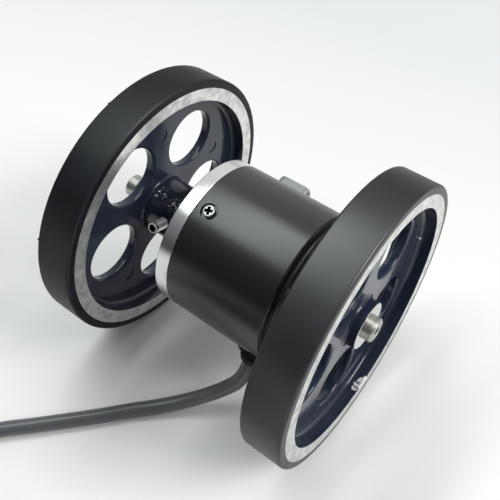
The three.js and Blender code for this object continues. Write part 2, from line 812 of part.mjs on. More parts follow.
// One unbroken tube through points, closed by a flat end at each end
function tubeThrough(points, radius, sides) {
  const up = new THREE.Vector3(0, 0, 1);
  const positions = [];
  const corners = [];
  points.forEach((point, i) => {
    const before = points[Math.max(i - 1, 0)];
    const after = points[Math.min(i + 1, points.length - 1)];
    const along = after.clone().sub(before).normalize();
    const across = along.clone().cross(up).normalize();
    const normal = across.clone().cross(along);
    for (let k = 0; k < sides; k += 1) {
      const angle = (2 * Math.PI * k) / sides;
      const corner = point.clone()
        .addScaledVector(across, radius * Math.cos(angle))
        .addScaledVector(normal, radius * Math.sin(angle));
      positions.push(corner.x, corner.y, corner.z);
    }
  });
  for (let i = 0; i + 1 < points.length; i += 1) {
    for (let k = 0; k < sides; k += 1) {
      const [a, b] = [i * sides + k, i * sides + ((k + 1) % sides)];
      corners.push(a, b + sides, b, a, a + sides, b + sides);
    }
  }
  const last = (points.length - 1) * sides;
  for (let k = 1; k + 1 < sides; k += 1) {
    corners.push(0, k, k + 1, last, last + k + 1, last + k);
  }
  const geometry = new THREE.BufferGeometry();
  geometry.setAttribute('position', new THREE.Float32BufferAttribute(positions, 3));
  geometry.setIndex(corners);
  geometry.computeVertexNormals();
  return geometry;
}

// Least gap between turns of the coil, and its length, both from points along its middle line
function measureCoil() {
  const samples = coilSamplesPerTurn;
  const points = Array.from({ length: coilTurns * samples + 1 }, (_, i) => coilPoint(i / samples));
  let least = Infinity;
  for (let i = 0; i < points.length; i += 1) {
    for (let j = i + samples / 2; j < points.length; j += 1) {
      least = Math.min(least, points[i].distanceTo(points[j]));
    }
  }
  const length = new THREE.CatmullRomCurve3(points).getLength();
  return { gap: least - 2 * cableRadius, length };
}

function addCable() {
  const heading = new THREE.Vector3(
    Math.cos(radians(coilHeadingAngle)), Math.sin(radians(coilHeadingAngle)), 0);
  const coilStart = coilPoint(0).addScaledVector(heading, -2 * cableRadius);
  const freeEnd = coilStart.clone().addScaledVector(heading, -jointGap);
  const route = new THREE.CatmullRomCurve3(
    [...cableRoute.map((point) => new THREE.Vector3(...point)), freeEnd], false, 'centripetal');
  const free = new THREE.ExtrudeGeometry(
    roundSection(cableRadius, cableSides), { steps: cableSteps, extrudePath: route });
  addPart(measuringWheel, 'cable', welded(free), finishes.greySheath());

  const turns = Array.from({ length: coilTurns * coilStepsPerTurn + 1 },
    (_, i) => coilPoint(i / coilStepsPerTurn));
  addPart(measuringWheel, 'cable_coil', tubeThrough([coilStart, ...turns], cableRadius, coilSides),
    finishes.greySheath());

  const measured = measureCoil();
  console.log(`coil: least gap to itself ${measured.gap.toFixed(2)} mm`);
  console.log(`cable: ${(route.getLength() + measured.length).toFixed(0)} mm without its leads`);
}

// Round section of a conductor, as a polygon
function roundSection(radius, sides) {
  return new THREE.Shape(Array.from({ length: sides }, (_, i) => {
    const angle = (2 * Math.PI * i) / sides;
    return new THREE.Vector2(radius * Math.cos(angle), radius * Math.sin(angle));
  }));
}

// Stripped conductors at the cable's end, which go on round the coil and lie down on the layer
// below, fanned out
function addLeads() {
  const end = coilPoint(coilTurns);
  const centre = new THREE.Vector3(coilCentre[0], coilCentre[1], 0);
  const endRadius = Math.hypot(end.x - centre.x, end.y - centre.y);
  const endAngle = Math.atan2(end.y - centre.y, end.x - centre.x);
  const restHeight = end.z - layerPitch + cableRadius + leadRadius + leadRestGap;
  Object.entries(leads).forEach(([name, { colour, outShare, upShare, tipShare }]) => {
    const points = Array.from({ length: leadSteps + 1 }, (_, i) => {
      const share = i / leadSteps;
      const settled = Math.min(2 * share, 1);
      const angle = endAngle + (leadStartGap + leadLength * share) / endRadius;
      const radius = endRadius
        + THREE.MathUtils.lerp(leadSpacing * outShare, leadFan * tipShare, settled);
      return new THREE.Vector3(
        centre.x + radius * Math.cos(angle),
        centre.y + radius * Math.sin(angle),
        THREE.MathUtils.lerp(end.z + leadSpacing * upShare, restHeight, settled),
      );
    });
    const lead = new THREE.ExtrudeGeometry(roundSection(leadRadius, leadSides), {
      steps: leadSteps, extrudePath: new THREE.CatmullRomCurve3(points, false, 'centripetal'),
    });
    addPart(measuringWheel, `lead_${name}`, welded(lead), finish(colour, 0.5, 0));
  });
}

const frontClipAlong = frontBearingAlong - bearingWidth / 2 - seatGap - clipThickness / 2;
const rearClipAlong = rearBearingAlong + bearingWidth / 2 + seatGap + clipThickness / 2;
const spacerStart = frontBearingAlong + bearingWidth / 2 + seatGap;
const spacerEnd = rearBearingAlong - bearingWidth / 2 - seatGap;

addShaft(frontClipAlong, rearClipAlong);
addWheel('left', -1, leftWheelOffset, leftFirstHoleAngle);
addWheel('right', 1, rightWheelOffset, rightFirstHoleAngle);
addBearing('front_bearing', frontBearingAlong);
addBearing('rear_bearing', rearBearingAlong);
addPart(axle, 'bearing_spacer',
  turned(ring(spacerStart, spacerEnd, shaftBoreRadius, shaftBoreRadius + spacerWall), shaftSegments),
  finishes.bareSteel());
addClip('front_shaft_clip', frontClipAlong);
addClip('rear_shaft_clip', rearClipAlong);
addFrontHousing();
addCover();
addCoverScrews();
addShaftSeal();
addCodeDisc();
addCircuitBoard();
addSensor();
addConnector();
addCableBush();
addCable();
addLeads();

export default measuringWheel;
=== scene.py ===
import math
from functools import partial

import bmesh
import bpy
from mathutils import Matrix, Vector


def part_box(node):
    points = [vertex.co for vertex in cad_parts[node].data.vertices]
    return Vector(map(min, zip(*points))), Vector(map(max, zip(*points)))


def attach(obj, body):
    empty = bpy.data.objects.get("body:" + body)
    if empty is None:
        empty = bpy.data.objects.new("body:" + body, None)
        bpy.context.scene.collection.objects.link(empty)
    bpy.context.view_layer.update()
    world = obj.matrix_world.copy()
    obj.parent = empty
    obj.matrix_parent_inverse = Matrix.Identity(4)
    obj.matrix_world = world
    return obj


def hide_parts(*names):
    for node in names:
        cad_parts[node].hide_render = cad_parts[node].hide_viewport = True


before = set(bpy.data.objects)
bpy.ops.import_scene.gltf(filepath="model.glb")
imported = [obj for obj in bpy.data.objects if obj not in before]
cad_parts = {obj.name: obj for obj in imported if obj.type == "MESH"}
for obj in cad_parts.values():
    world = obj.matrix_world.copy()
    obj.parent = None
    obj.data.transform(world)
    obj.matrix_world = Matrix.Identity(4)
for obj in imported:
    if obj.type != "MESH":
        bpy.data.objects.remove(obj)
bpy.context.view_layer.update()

# Encoder measuring wheel: two rubber-tyred wheels on a through shaft, and between them an encoder
# body with its pad and cable. X runs along the shaft, Y to the back and Z up from the floor.
# Sizes are in millimetres, and angles about the shaft are in degrees from the back to the top.

MM = 0.001

# Wheels and tyres
tyre_low, tyre_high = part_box("tyre_left")
axle_height = (tyre_low[2] + tyre_high[2]) / 2 / MM
tyre_radius = (tyre_high[2] - tyre_low[2]) / 2 / MM
wheel_width = (tyre_high[0] - tyre_low[0]) / MM
left_wheel_offset = -tyre_high[0] / MM
right_wheel_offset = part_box("tyre_right")[0][0] / MM
tyre_thickness = 2.8
tyre_shoulder = 0.9
tyre_seat_gap = 0.05
tyre_lip_set_back = 0.05
tyre_lip_height = 0.3
rim_thickness = 4.6
rim_radius = tyre_radius - tyre_thickness
rim_inner_radius = rim_radius - rim_thickness
rim_edge = 0.25
web_thickness = 3.6
web_inner_face = (wheel_width - web_thickness) / 2
web_outer_face = (wheel_width + web_thickness) / 2
boss_radius = 10
boss_reach = 7
boss_edge = 0.6
stub_radius = 8
stub_recess = 1
stub_edge = 0.4
bore_radius = 4.05
bore_edge = 0.2
cast_fillet = 1.5
web_hole_count = 5
web_hole_radius = 10.3
web_hole_circle = 24.4
web_hole_edge = 0.9
web_hole_edge_steps = 4
left_first_hole_angle = 46
right_first_hole_angle = 34
pin_mark_radius = 2.3
pin_mark_flare = 0.1
pin_mark_circle = 28.6
pin_mark_depth = 0.3

# Nibs of moulding flash on the tyres' outer edges: (height over the tread, radius), and where
nib_outline = [(-0.8, 0), (-0.8, 0.5), (0, 0.4), (0.35, 0.2), (0.45, 0)]
nib_from_face = 0.6
left_nib_angles = (100.5, 158.5)
right_nib_angles = (286, 339)

# Wheel screws: M4 set screws with a hexagon socket, which press on the shaft
wheel_screw_from_face = 4
wheel_screw_angle_from_hole = 112
wheel_screw_gap = 0.1
wheel_screw_length = 11
wheel_screw_point_radius = 1.0
wheel_screw_point_length = 0.8
wheel_screw_rim_height = 0.35
wheel_screw_rim_radii = (1.98, 1.75)
wheel_screw_socket = 2.5
wheel_screw_socket_depth = 2
thread_pitch = 0.7
thread_radius = 2.0
thread_root_radius = 1.62
thread_crest = (0.42, 0.54)
thread_foot = 0.96
thread_start = 0.7
unthreaded_length = 1.9
screw_hole_radius = 2.05
screw_hole_sink = 0.5
screw_hole_mouth_radius = 2.9
screw_hole_past = 0.6

# Shaft, with its ends centre-drilled to (depth, radius) and a groove for each clip
shaft_radius = 4
shaft_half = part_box("shaft")[1][0] / MM
shaft_chamfer = 0.5
centre_drill = [(1.8, 0), (0.8, 0.75), (0.12, 1.35), (0, 1.5)]
clip_groove_width = 0.9
clip_groove_depth = 0.25

# Front housing: flange, spigot and bearing hub
flange_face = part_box("front_housing")[0][0] / MM
flange_thickness = 4.8
flange_edge = 0.35
flange_inner_edge = 0.15
body_radius = 26
spigot_start = flange_face + flange_thickness
spigot_length = 8.75
spigot_end = spigot_start + spigot_length
spigot_gap = 0.1
hub_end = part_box("front_housing")[1][0] / MM
hub_radius = 14
hub_edge = 0.3
bearing_seat_radius = 11.05
bearing_lip_radius = 9.5
front_seat_depth = 7.55
rear_seat_depth = 7.05
post_hole_radius = 1.3
post_hole_depth = 4.1
post_circle = 17
post_angles = (30, 150, 270)

# Cover and its mounting pad
cover_start, cover_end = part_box("cover")[0][0] / MM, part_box("cover")[1][0] / MM
cover_edge = 0.3
cover_end_edge = 0.5
cover_step = 1.5
cover_step_radius = 23.5
cover_step_edge = 0.4
cover_inner_radius = 24
cover_end_wall = 2.5
seal_way_radius = 8.05
pad_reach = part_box("cover")[1][1] / MM
pad_width = 12
pad_height = 16
pad_corner = 2
pad_edge = 0.4
pad_hole_radius = 1.25
pad_hole_depth = 4.5
pad_hole_spacing = 9
pad_hole_sink = 0.35
pad_hole_mouth_radius = 1.7

# Cover screws: small pan heads with a cross recess, in counterbores
cover_screw_angles = (110.8, 230.8, 350.8)
cover_screw_low, cover_screw_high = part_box("cover_screw_1")
cover_screw_along = (cover_screw_low[0] + cover_screw_high[0]) / 2 / MM
cover_screw_radius = 1.0
cover_screw_reach = 6
cover_screw_seat = body_radius - 0.95
cover_screw_head_height = 1.5
cover_screw_head_radius = 1.95
cross_arm = (3.5, 1.3, 2.0)
cross_turned_by = 20
cross_taper = 0.6
screw_way_radius = 1.35
screw_way_end = 17
counterbore_radius = 2.7
counterbore_mouth_radius = 3.5
counterbore_depth = 1

# Cable bush: (distance from the shaft's line, radius) from its collar to its sleeve's end
bush_along = 17.45
bush_angle = 232
bush_way_radius = 3.3
bush_bore = 2.75
bush_end = 31.5
bush_flange = body_radius + 0.15
bush_outline = [
    (21.7, 0), (21.7, 3.9), (23.4, 3.9), (23.4, 3.0), (bush_flange, 3.0), (bush_flange, 6.2),
    (bush_flange + 1.5, 6.2), (bush_flange + 1.5, 4.0), (bush_flange + 2.1, 3.8),
    (bush_flange + 2.9, 4.35), (bush_flange + 3.9, 4.35), (bush_flange + 4.3, 4.0), (bush_end, 3.6),
    (bush_end, bush_bore), (bush_end - 1.5, bush_bore), (bush_end - 1.5, 0)]

# Cutters reach this far past the surface that they cut
cut_past = 1

# Cable: its free route's points, and its coil, both as the model has them
cable_radius = 2.5
cable_route = [
    (17.45, -18.5, 24.07), (17.45, -20.62, 21.35), (17.15, -22.5, 18.7), (16.0, -24.6, 15.5),
    (13.6, -26.9, 12.4), (10.4, -29.8, 9.5), (6.7, -33.2, 7.1), (2.8, -36.8, 5.2),
    (-1.2, -40.5, 3.8), (-5.6, -44.7, 2.9), (-10.4, -49.4, 2.6), (-17.9, -57.6, 2.6),
    (-25.6, -65.6, 2.6), (-33.4, -73.5, 2.6), (-41.3, -81.4, 2.6), (-46.6, -88.2, 2.6),
    (-49.9, -96.2, 2.6), (-51.0, -104.7, 2.6), (-51.0, -115.0, 2.6), (-51.0, -124.0, 2.6),
]
coil_centre = (-20, -132.2)
coil_inner_radius = 20
turns_per_layer = 2
coil_turns = 11.5
turn_pitch = 5.5
layer_pitch = 5.5
climb_turns = 0.5
coil_steps_per_turn = 24
coil_start_angle = 180
cable_height = 2.6

# Camera in metres, as it fits the circles of both wheels in the photograph
camera_place = (0.0887, -0.1154, 0.2361)
camera_direction = (-0.4211, 0.5580, -0.7150)
camera_lens = 51.80
camera_shift = (0.0046, -0.1655)

scene = bpy.context.scene
at_origin = Matrix.Identity(4)


def linear(hex_colour):
    """A surface colour given as sRGB hex, as the linear colour that a shader takes."""
    parts = [int(hex_colour[i:i + 2], 16) / 255 for i in (1, 3, 5)]
    return [c / 12.92 if c <= 0.04045 else ((c + 0.055) / 1.055) ** 2.4 for c in parts] + [1.0]


# Modelling helpers

def deselect():
    """Leaves edit mode and selects nothing."""
    if bpy.context.mode != "OBJECT":
        bpy.ops.object.mode_set(mode="OBJECT")
    bpy.ops.object.select_all(action="DESELECT")


def pick(obj):
    """Makes a piece the only one selected, and the active one."""
    deselect()
    obj.select_set(True)
    bpy.context.view_layer.objects.active = obj


def select_corners(obj, chosen):
    """In edit mode, selects the corners whose place passes the test."""
    mesh = bmesh.from_edit_mesh(obj.data)
    bpy.ops.mesh.select_all(action="DESELECT")
    for corner in mesh.verts:
        corner.select = chosen(corner.co)
    mesh.select_flush(True)
    bmesh.update_edit_mesh(obj.data)


def draw_outline(name, points):
    """Draws a closed outline of (height, radius) points from one corner, by extruding it round."""
    deselect()
    bpy.ops.mesh.primitive_plane_add(size=MM)
    obj = bpy.context.active_object
    obj.name = name
    bpy.ops.object.mode_set(mode="EDIT")
    bpy.ops.mesh.select_mode(type="VERT")
    bpy.ops.mesh.select_all(action="SELECT")
    bpy.ops.mesh.merge(type="CENTER")
    places = [Vector((radius, 0, height)) * MM for height, radius in points]
    bpy.ops.transform.translate(value=places[0])
    for here, there in zip(places, places[1:] + places[:1]):
        bpy.ops.mesh.extrude_vertices_move(TRANSFORM_OT_translate={"value": there - here})
    bpy.ops.mesh.select_all(action="SELECT")
    bpy.ops.mesh.remove_doubles(threshold=1e-6)
    bpy.ops.mesh.edge_face_add()
    return obj


def turn(name, points, place, rounds=(), steps=96):
    """Turned piece: an outline of (height, radius) points with some corners rounded, spun about its
    axis and set in its place. Rounds are (size, corner numbers)."""
    obj = draw_outline(name, points)
    for size, numbers in rounds:
        spots = [Vector((points[i][1], 0, points[i][0])) * MM for i in numbers]
        select_corners(obj, lambda co: any((co - spot).length < 1e-6 for spot in spots))
        bpy.ops.mesh.bevel(offset=size * MM, segments=4, affect="VERTICES", clamp_overlap=False)
    bpy.ops.mesh.select_all(action="SELECT")
    bpy.ops.mesh.delete(type="ONLY_FACE")
    select_corners(obj, lambda co: co.x < 1e-7)
    bpy.ops.mesh.delete(type="EDGE")
    bpy.ops.mesh.select_all(action="SELECT")
    bpy.ops.mesh.spin(steps=steps, angle=2 * math.pi, center=(0, 0, 0), axis=(0, 0, 1))
    bpy.ops.mesh.select_all(action="SELECT")
    bpy.ops.mesh.remove_doubles(threshold=1e-6)
    bpy.ops.mesh.normals_make_consistent(inside=False)
    bpy.ops.object.mode_set(mode="OBJECT")
    return set_down(obj, place)


def set_down(obj, place):
    """Puts a piece modelled at the origin in its place, and leaves the place in its mesh."""
    pick(obj)
    obj.matrix_world = place
    bpy.ops.object.transform_apply(location=True, rotation=True, scale=True)
    return obj


def copy_of(pattern, name):
    """A copy of a piece, with its own mesh."""
    copy = pattern.copy()
    copy.data = pattern.data.copy()
    copy.name = name
    scene.collection.objects.link(copy)
    return copy


def repeat(pattern, places):
    """Sets down a copy of a piece modelled at the origin in each place, and clears the piece away."""
    copies = [set_down(copy_of(pattern, pattern.name), place) for place in places]
    bpy.data.objects.remove(pattern)
    return copies


def along_shaft(along=0.0):
    """Place of a turned piece whose axis is the shaft's line."""
    return Matrix.Translation((along * MM, 0, axle_height * MM)) @ Matrix.Rotation(math.pi / 2, 4, "Y")


def outward(along, angle):
    """Place of a turned piece whose axis stands out from the shaft's line at an angle."""
    turned_out = Matrix.Rotation(math.radians(angle - 90), 4, "X")
    return Matrix.Translation((along * MM, 0, axle_height * MM)) @ turned_out


def off_axis(along, distance, angle):
    """Place of a turned piece beside the shaft and parallel to it."""
    away = Vector((0, math.cos(math.radians(angle)), math.sin(math.radians(angle)))) * distance * MM
    return Matrix.Translation(away) @ along_shaft(along)


def join(pieces):
    """Makes one piece of several, under the first one's name."""
    deselect()
    for piece in pieces:
        piece.select_set(True)
    bpy.context.view_layer.objects.active = pieces[0]
    bpy.ops.object.join()
    return pieces[0]


def combine(obj, tools, operation="DIFFERENCE"):
    """Cuts a set of tools out of a piece, or joins them to it, and clears the tools away."""
    tool = join(tools)
    pick(obj)
    cut = obj.modifiers.new("combine", "BOOLEAN")
    cut.operation = operation
    cut.object = tool
    cut.solver = "EXACT"
    bpy.ops.object.modifier_apply(modifier=cut.name)
    bpy.data.objects.remove(tool)
    return obj


def smooth(obj, angle=32):
    """Smooths round faces, and keeps flat ones flat up to their rounded edges."""
    pick(obj)
    bpy.ops.object.shade_smooth_by_angle(angle=math.radians(angle))
    even = obj.modifiers.new("flat faces stay flat", "WEIGHTED_NORMAL")
    even.keep_sharp = True
    bpy.ops.object.modifier_apply(modifier=even.name)
    return obj


def radius_at(spot):
    """Distance of a point in millimetres from the shaft's line."""
    return math.hypot(spot.y, spot.z - axle_height)


def across_shaft(face):
    """Whether a face lies across the shaft, and not round it."""
    return abs(face.normal.x) > 0.6


def finish_faces(obj, number, chosen):
    """Gives another of its finishes to the faces of a piece that pass the test. The test gets a face
    and its middle in millimetres."""
    for face in obj.data.polygons:
        if chosen(face, face.center / MM):
            face.material_index = number


def fit(obj, body, slot, materials, *nodes):
    """Gives a finished piece its finishes, sets it on its body and hides the solids that it stands for."""
    for material in materials:
        obj.data.materials.append(material)
    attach(obj, body)
    if nodes:
        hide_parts(*nodes)


# Materials

# A colour Mix node's inputs, and what else is said where one is added
SHARE, FIRST, SECOND = 0, 6, 7
COLOURS = {"output": 2, "data_type": "RGBA"}


def fill(node, inputs):
    """Gives inputs of a node their values, or links from other nodes. A hex colour is made linear."""
    for socket, value in inputs.items():
        if isinstance(value, bpy.types.NodeSocket):
            node.id_data.links.new(value, node.inputs[socket])
        else:
            node.inputs[socket].default_value = linear(value) if isinstance(value, str) else value


def add_node(tree, kind, inputs, output=0, **settings):
    """Adds a node with its settings, values and links, and gives back one of its outputs."""
    node = tree.nodes.new("ShaderNode" + kind)
    for key, value in settings.items():
        setattr(node, key, value)
    fill(node, inputs)
    return node.outputs[output]


def new_finish(name):
    """A new material: itself, what adds a node to it, its surface shader, and the places on a piece
    that patterns read."""
    material = bpy.data.materials.new(name)
    material.use_nodes = True
    add = partial(add_node, material.node_tree)
    return material, add, material.node_tree.nodes["Principled BSDF"], add("TexCoord", {}, "Object")


def scale_for(size):
    """Scale of a pattern whose lumps or lines are about a size in millimetres apart."""
    return 1 / (size * MM)


def radius_from_shaft(add, place):
    """Distance of a surface point from the shaft's line, in metres."""
    centred = add("VectorMath", {0: place, 1: (0, 0, -axle_height * MM)}, operation="ADD")
    flat = add("VectorMath", {0: centred, 1: (0, 1, 1)}, operation="MULTIPLY")
    return add("VectorMath", {0: flat}, "Value", operation="LENGTH")


def close_to_spots(add, place, spots):
    """1 on the surface close to any of some (spot, reach) pairs in millimetres, falling to 0."""
    total = None
    for spot, reach in spots:
        away = add("VectorMath", {0: place, 1: [v * MM for v in spot]}, "Value", operation="DISTANCE")
        close = add("MapRange", {"Value": away, "From Min": 0.4 * reach * MM, "From Max": reach * MM,
                                 "To Min": 1.0, "To Max": 0.0})
        total = add("Math", {0: total, 1: close}, operation="MAXIMUM") if total else close
    return total


def black_stoving_enamel(name, low, high, rough_cast, chip_and_glint_spots):
    """Gloss black enamel with a navy cast, sprayed over a die-cast wheel: a wet black, wavy over some 6 mm
    and with an orange peel of about 0.8 mm. It is lumpy where the casting under it is rough, and its
    sparkle there is painted highlight: bright bare-metal specks. It shows bright metal where paint has come
    off, and some of the listed spots are painted glints in the same bright metal."""
    material, add, shader, place = new_finish(name)
    cast = add("TexNoise", {"Vector": place, "Scale": scale_for(6.0)})
    peel = add("TexNoise", {"Vector": place, "Scale": scale_for(0.8), "Detail": 1.0})
    rough_area = close_to_spots(add, place, rough_cast)
    lumps = add("TexVoronoi", {"Vector": place, "Scale": scale_for(1.1)}, "Distance")
    grit = add("Math", {0: rough_area, 1: lumps}, operation="MULTIPLY")
    torn = add("TexNoise", {"Vector": place, "Scale": scale_for(1.0), "Detail": 4.0, "Roughness": 0.7})
    torn_chip_and_glint_mask = add("Math", {0: close_to_spots(add, place, chip_and_glint_spots), 1: torn}, operation="MULTIPLY")
    chip_and_glint_mask = add("MapRange", {"Value": torn_chip_and_glint_mask, "From Min": 0.4, "From Max": 0.43})
    # Painted highlight: in the rough-cast area, bright bare-metal specks stand in for the glints there.
    peaks = add("MapRange", {"Value": peel, "From Min": 0.64, "From Max": 0.67})
    painted_sparkle_mask = add("Math", {0: rough_area, 1: peaks}, operation="MULTIPLY")
    # bare joins real paint chips with painted glints, all shown as bright bare metal.
    bare = add("Math", {0: chip_and_glint_mask, 1: painted_sparkle_mask}, operation="MAXIMUM")
    paint = add("Mix", {SHARE: cast, FIRST: low, SECOND: high}, **COLOURS)
    colour = add("Mix", {SHARE: bare, FIRST: paint, SECOND: "#F4F4F3"}, **COLOURS)
    wet = add("MapRange", {"Value": peel, "From Min": 0.3, "From Max": 0.7, "To Min": 0.1,
                           "To Max": 0.16})
    dull = add("Math", {0: bare, 1: 0.5}, operation="MULTIPLY")
    rough = add("Math", {0: wet, 1: dull}, operation="MAXIMUM")
    wavy = add("Bump", {"Height": cast, "Distance": 0.08 * MM})
    skin = add("Bump", {"Height": peel, "Distance": 0.006 * MM, "Normal": wavy})
    lumpy = add("Bump", {"Height": grit, "Distance": 0.4 * MM, "Normal": skin})
    relief = add("Bump", {"Height": bare, "Distance": -0.03 * MM, "Normal": lumpy})
    fill(shader, {"Base Color": colour, "Metallic": bare, "Roughness": rough,
                  "Specular IOR Level": 0.42, "Normal": relief})
    return material


def faced_aluminium():
    """Die-cast aluminium rim face, turned bare on a lathe: fine rings round the wheel, as close as the
    tool's feed of 0.16 mm, cloudy bright and dull patches, and casting pores about 1 mm apart."""
    material, add, shader, place = new_finish("faced cast aluminium")
    radius = radius_from_shaft(add, place)
    rings = add("TexNoise", {"W": radius, "Scale": scale_for(0.16)}, noise_dimensions="1D")
    clouds = add("TexNoise", {"Vector": place, "Scale": scale_for(3.2), "Detail": 4.0, "Roughness": 0.6})
    grain = add("TexNoise", {"Vector": place, "Scale": scale_for(0.5), "Detail": 3.0, "Roughness": 0.6})
    cells = add("TexVoronoi", {"Vector": place, "Scale": scale_for(1.1)}, "Distance")
    pore = add("MapRange", {"Value": cells, "From Min": 0.1, "From Max": 0.16, "To Min": 1.0,
                            "To Max": 0.0})
    patches = add("TexNoise", {"Vector": place, "Scale": scale_for(9.0), "Detail": 1.0})
    open_skin = add("MapRange", {"Value": patches, "From Min": 0.56, "From Max": 0.64})
    pores = add("Math", {0: pore, 1: open_skin}, operation="MULTIPLY")
    bright = add("MapRange", {"Value": clouds, "From Min": 0.38, "From Max": 0.66})
    cloudy = add("Mix", {SHARE: bright, FIRST: "#C4C6C4", SECOND: "#ECEDEB"}, **COLOURS)
    dark = add("MapRange", {"Value": grain, "From Min": 0.62, "From Max": 0.74, "To Max": 0.5})
    grainy = add("Mix", {SHARE: dark, FIRST: cloudy, SECOND: "#9C9E9C"}, **COLOURS)
    colour = add("Mix", {SHARE: pores, FIRST: grainy, SECOND: "#3A3B3A"}, **COLOURS)
    rough = add("MapRange", {"Value": clouds, "From Min": 0.35, "From Max": 0.7, "To Min": 0.46,
                             "To Max": 0.3})
    turned = add("Bump", {"Height": rings, "Distance": 0.014 * MM})
    relief = add("Bump", {"Height": pores, "Distance": -0.15 * MM, "Normal": turned})
    fill(shader, {"Base Color": colour, "Metallic": 1.0, "Roughness": rough, "Normal": relief})
    return material


def moulded_rubber(name, gloss, side_gloss, middle):
    """Black polyurethane rubber, moulded round the rim: a satin black tread, matt where it turns
    away, between sides of their own gloss, with a fine grain, a faint bloom and a little dust. The
    tyre's middle is so many millimetres along the shaft."""
    material, add, shader, place = new_finish(name)
    bloom = add("TexNoise", {"Vector": place, "Scale": scale_for(16.0), "Detail": 3.0,
                             "Roughness": 0.55})
    grain = add("TexNoise", {"Vector": place, "Scale": scale_for(0.35), "Detail": 3.0, "Roughness": 0.6})
    dust = add("TexNoise", {"Vector": place, "Scale": scale_for(1.1), "Detail": 4.0, "Roughness": 0.7})
    bloomed = add("MapRange", {"Value": bloom, "From Min": 0.35, "From Max": 0.7})
    black = add("Mix", {SHARE: bloomed, FIRST: "#090C11", SECOND: "#0F141A"}, **COLOURS)
    specks = add("MapRange", {"Value": dust, "From Min": 0.73, "From Max": 0.77, "To Max": 0.35})
    colour = add("Mix", {SHARE: specks, FIRST: black, SECOND: "#77797A"}, **COLOURS)
    turned_away = add("LayerWeight", {"Blend": 0.5}, "Facing")
    tread_gloss = add("MapRange", {"Value": turned_away, "From Min": 0.1, "From Max": 0.5,
                                   "To Min": gloss, "To Max": gloss / 4})
    across = add("SeparateXYZ", {0: place}, "X")
    from_middle = add("Math", {0: across, 1: middle * MM}, operation="SUBTRACT")
    beside = add("Math", {0: from_middle}, operation="ABSOLUTE")
    half = wheel_width / 2
    on_side = add("MapRange", {"Value": beside, "From Min": (half - 0.5) * MM,
                               "From Max": (half - 0.05) * MM, "To Max": side_gloss})
    level = add("Math", {0: tread_gloss, 1: on_side}, operation="MAXIMUM")
    rough = add("MapRange", {"Value": bloom, "From Min": 0.3, "From Max": 0.7, "To Min": 0.38,
                             "To Max": 0.46})
    relief = add("Bump", {"Height": grain, "Distance": 0.02 * MM})
    fill(shader, {"Base Color": colour, "Roughness": rough, "Specular IOR Level": level,
                  "Normal": relief})
    return material


def turned_aluminium():
    """Aluminium bar turned on a lathe: tool lines 0.09 mm apart round the flange draw its highlights
    out into bands along the shaft."""
    material, add, shader, place = new_finish("turned aluminium")
    across = add("SeparateXYZ", {0: place}, "X")
    lines = add("TexNoise", {"W": across, "Scale": scale_for(0.09)}, noise_dimensions="1D")
    rough = add("MapRange", {"Value": lines, "From Min": 0.3, "From Max": 0.7, "To Min": 0.13,
                             "To Max": 0.2})
    relief = add("Bump", {"Height": lines, "Distance": 0.002 * MM})
    round_shaft = add("Tangent", {}, direction_type="RADIAL", axis="X")
    fill(shader, {"Base Color": "#DADBDC", "Metallic": 1.0, "Roughness": rough, "Anisotropic": 0.5,
                  "Tangent": round_shaft, "Normal": relief})
    return material


def satin_black_paint():
    """Satin black powder paint on the cover: a soft broad highlight over a very fine grain, with a few
    specks of dust."""
    material, add, shader, place = new_finish("satin black powder paint")
    tone = add("TexNoise", {"Vector": place, "Scale": scale_for(12.0)})
    grain = add("TexNoise", {"Vector": place, "Scale": scale_for(0.22)})
    dust = add("TexNoise", {"Vector": place, "Scale": scale_for(0.9), "Detail": 3.0, "Roughness": 0.6})
    black = add("Mix", {SHARE: tone, FIRST: "#0A0B0E", SECOND: "#0F1114"}, **COLOURS)
    specks = add("MapRange", {"Value": dust, "From Min": 0.76, "From Max": 0.79, "To Max": 0.6})
    colour = add("Mix", {SHARE: specks, FIRST: black, SECOND: "#8A8C8D"}, **COLOURS)
    rough = add("MapRange", {"Value": grain, "From Min": 0.3, "From Max": 0.7, "To Min": 0.28,
                             "To Max": 0.34})
    relief = add("Bump", {"Height": grain, "Distance": 0.006 * MM})
    fill(shader, {"Base Color": colour, "Roughness": rough, "Specular IOR Level": 0.62,
                  "Normal": relief})
    return material


def ground_steel():
    """Hardened shaft steel, ground between centres: bright, with faint lines 0.07 mm apart round it
    that stretch its highlights, and a few duller stains."""
    material, add, shader, place = new_finish("ground shaft steel")
    across = add("SeparateXYZ", {0: place}, "X")
    lines = add("TexNoise", {"W": across, "Scale": scale_for(0.07), "Detail": 3.0},
                noise_dimensions="1D")
    stain = add("TexNoise", {"Vector": place, "Scale": scale_for(2.5), "Detail": 3.0})
    colour = add("Mix", {SHARE: stain, FIRST: "#A9A8A1", SECOND: "#CBCAC5"}, **COLOURS)
    rough = add("MapRange", {"Value": lines, "From Min": 0.3, "From Max": 0.7, "To Min": 0.4,
                             "To Max": 0.52})
    relief = add("Bump", {"Height": lines, "Distance": 0.004 * MM})
    round_shaft = add("Tangent", {}, direction_type="RADIAL", axis="X")
    fill(shader, {"Base Color": colour, "Metallic": 1.0, "Roughness": rough, "Anisotropic": 0.8,
                  "Anisotropic Rotation": 0.25, "Tangent": round_shaft, "Normal": relief})
    return material


def metal(name, light, dark, low_rough, high_rough, lump=0.8):
    """Metal with a slightly uneven colour and gloss in patches of a size in millimetres, as tumbling,
    plating or milling leaves it. It also makes the near-black painted shade laid in recesses."""
    material, add, shader, place = new_finish(name)
    cloud = add("TexNoise", {"Vector": place, "Scale": scale_for(lump), "Detail": 3.0})
    colour = add("Mix", {SHARE: cloud, FIRST: dark, SECOND: light}, **COLOURS)
    rough = add("MapRange", {"Value": cloud, "From Min": 0.3, "From Max": 0.7, "To Min": low_rough,
                             "To Max": high_rough})
    relief = add("Bump", {"Height": cloud, "Distance": 0.004 * MM})
    fill(shader, {"Base Color": colour, "Metallic": 1.0, "Roughness": rough, "Normal": relief})
    return material


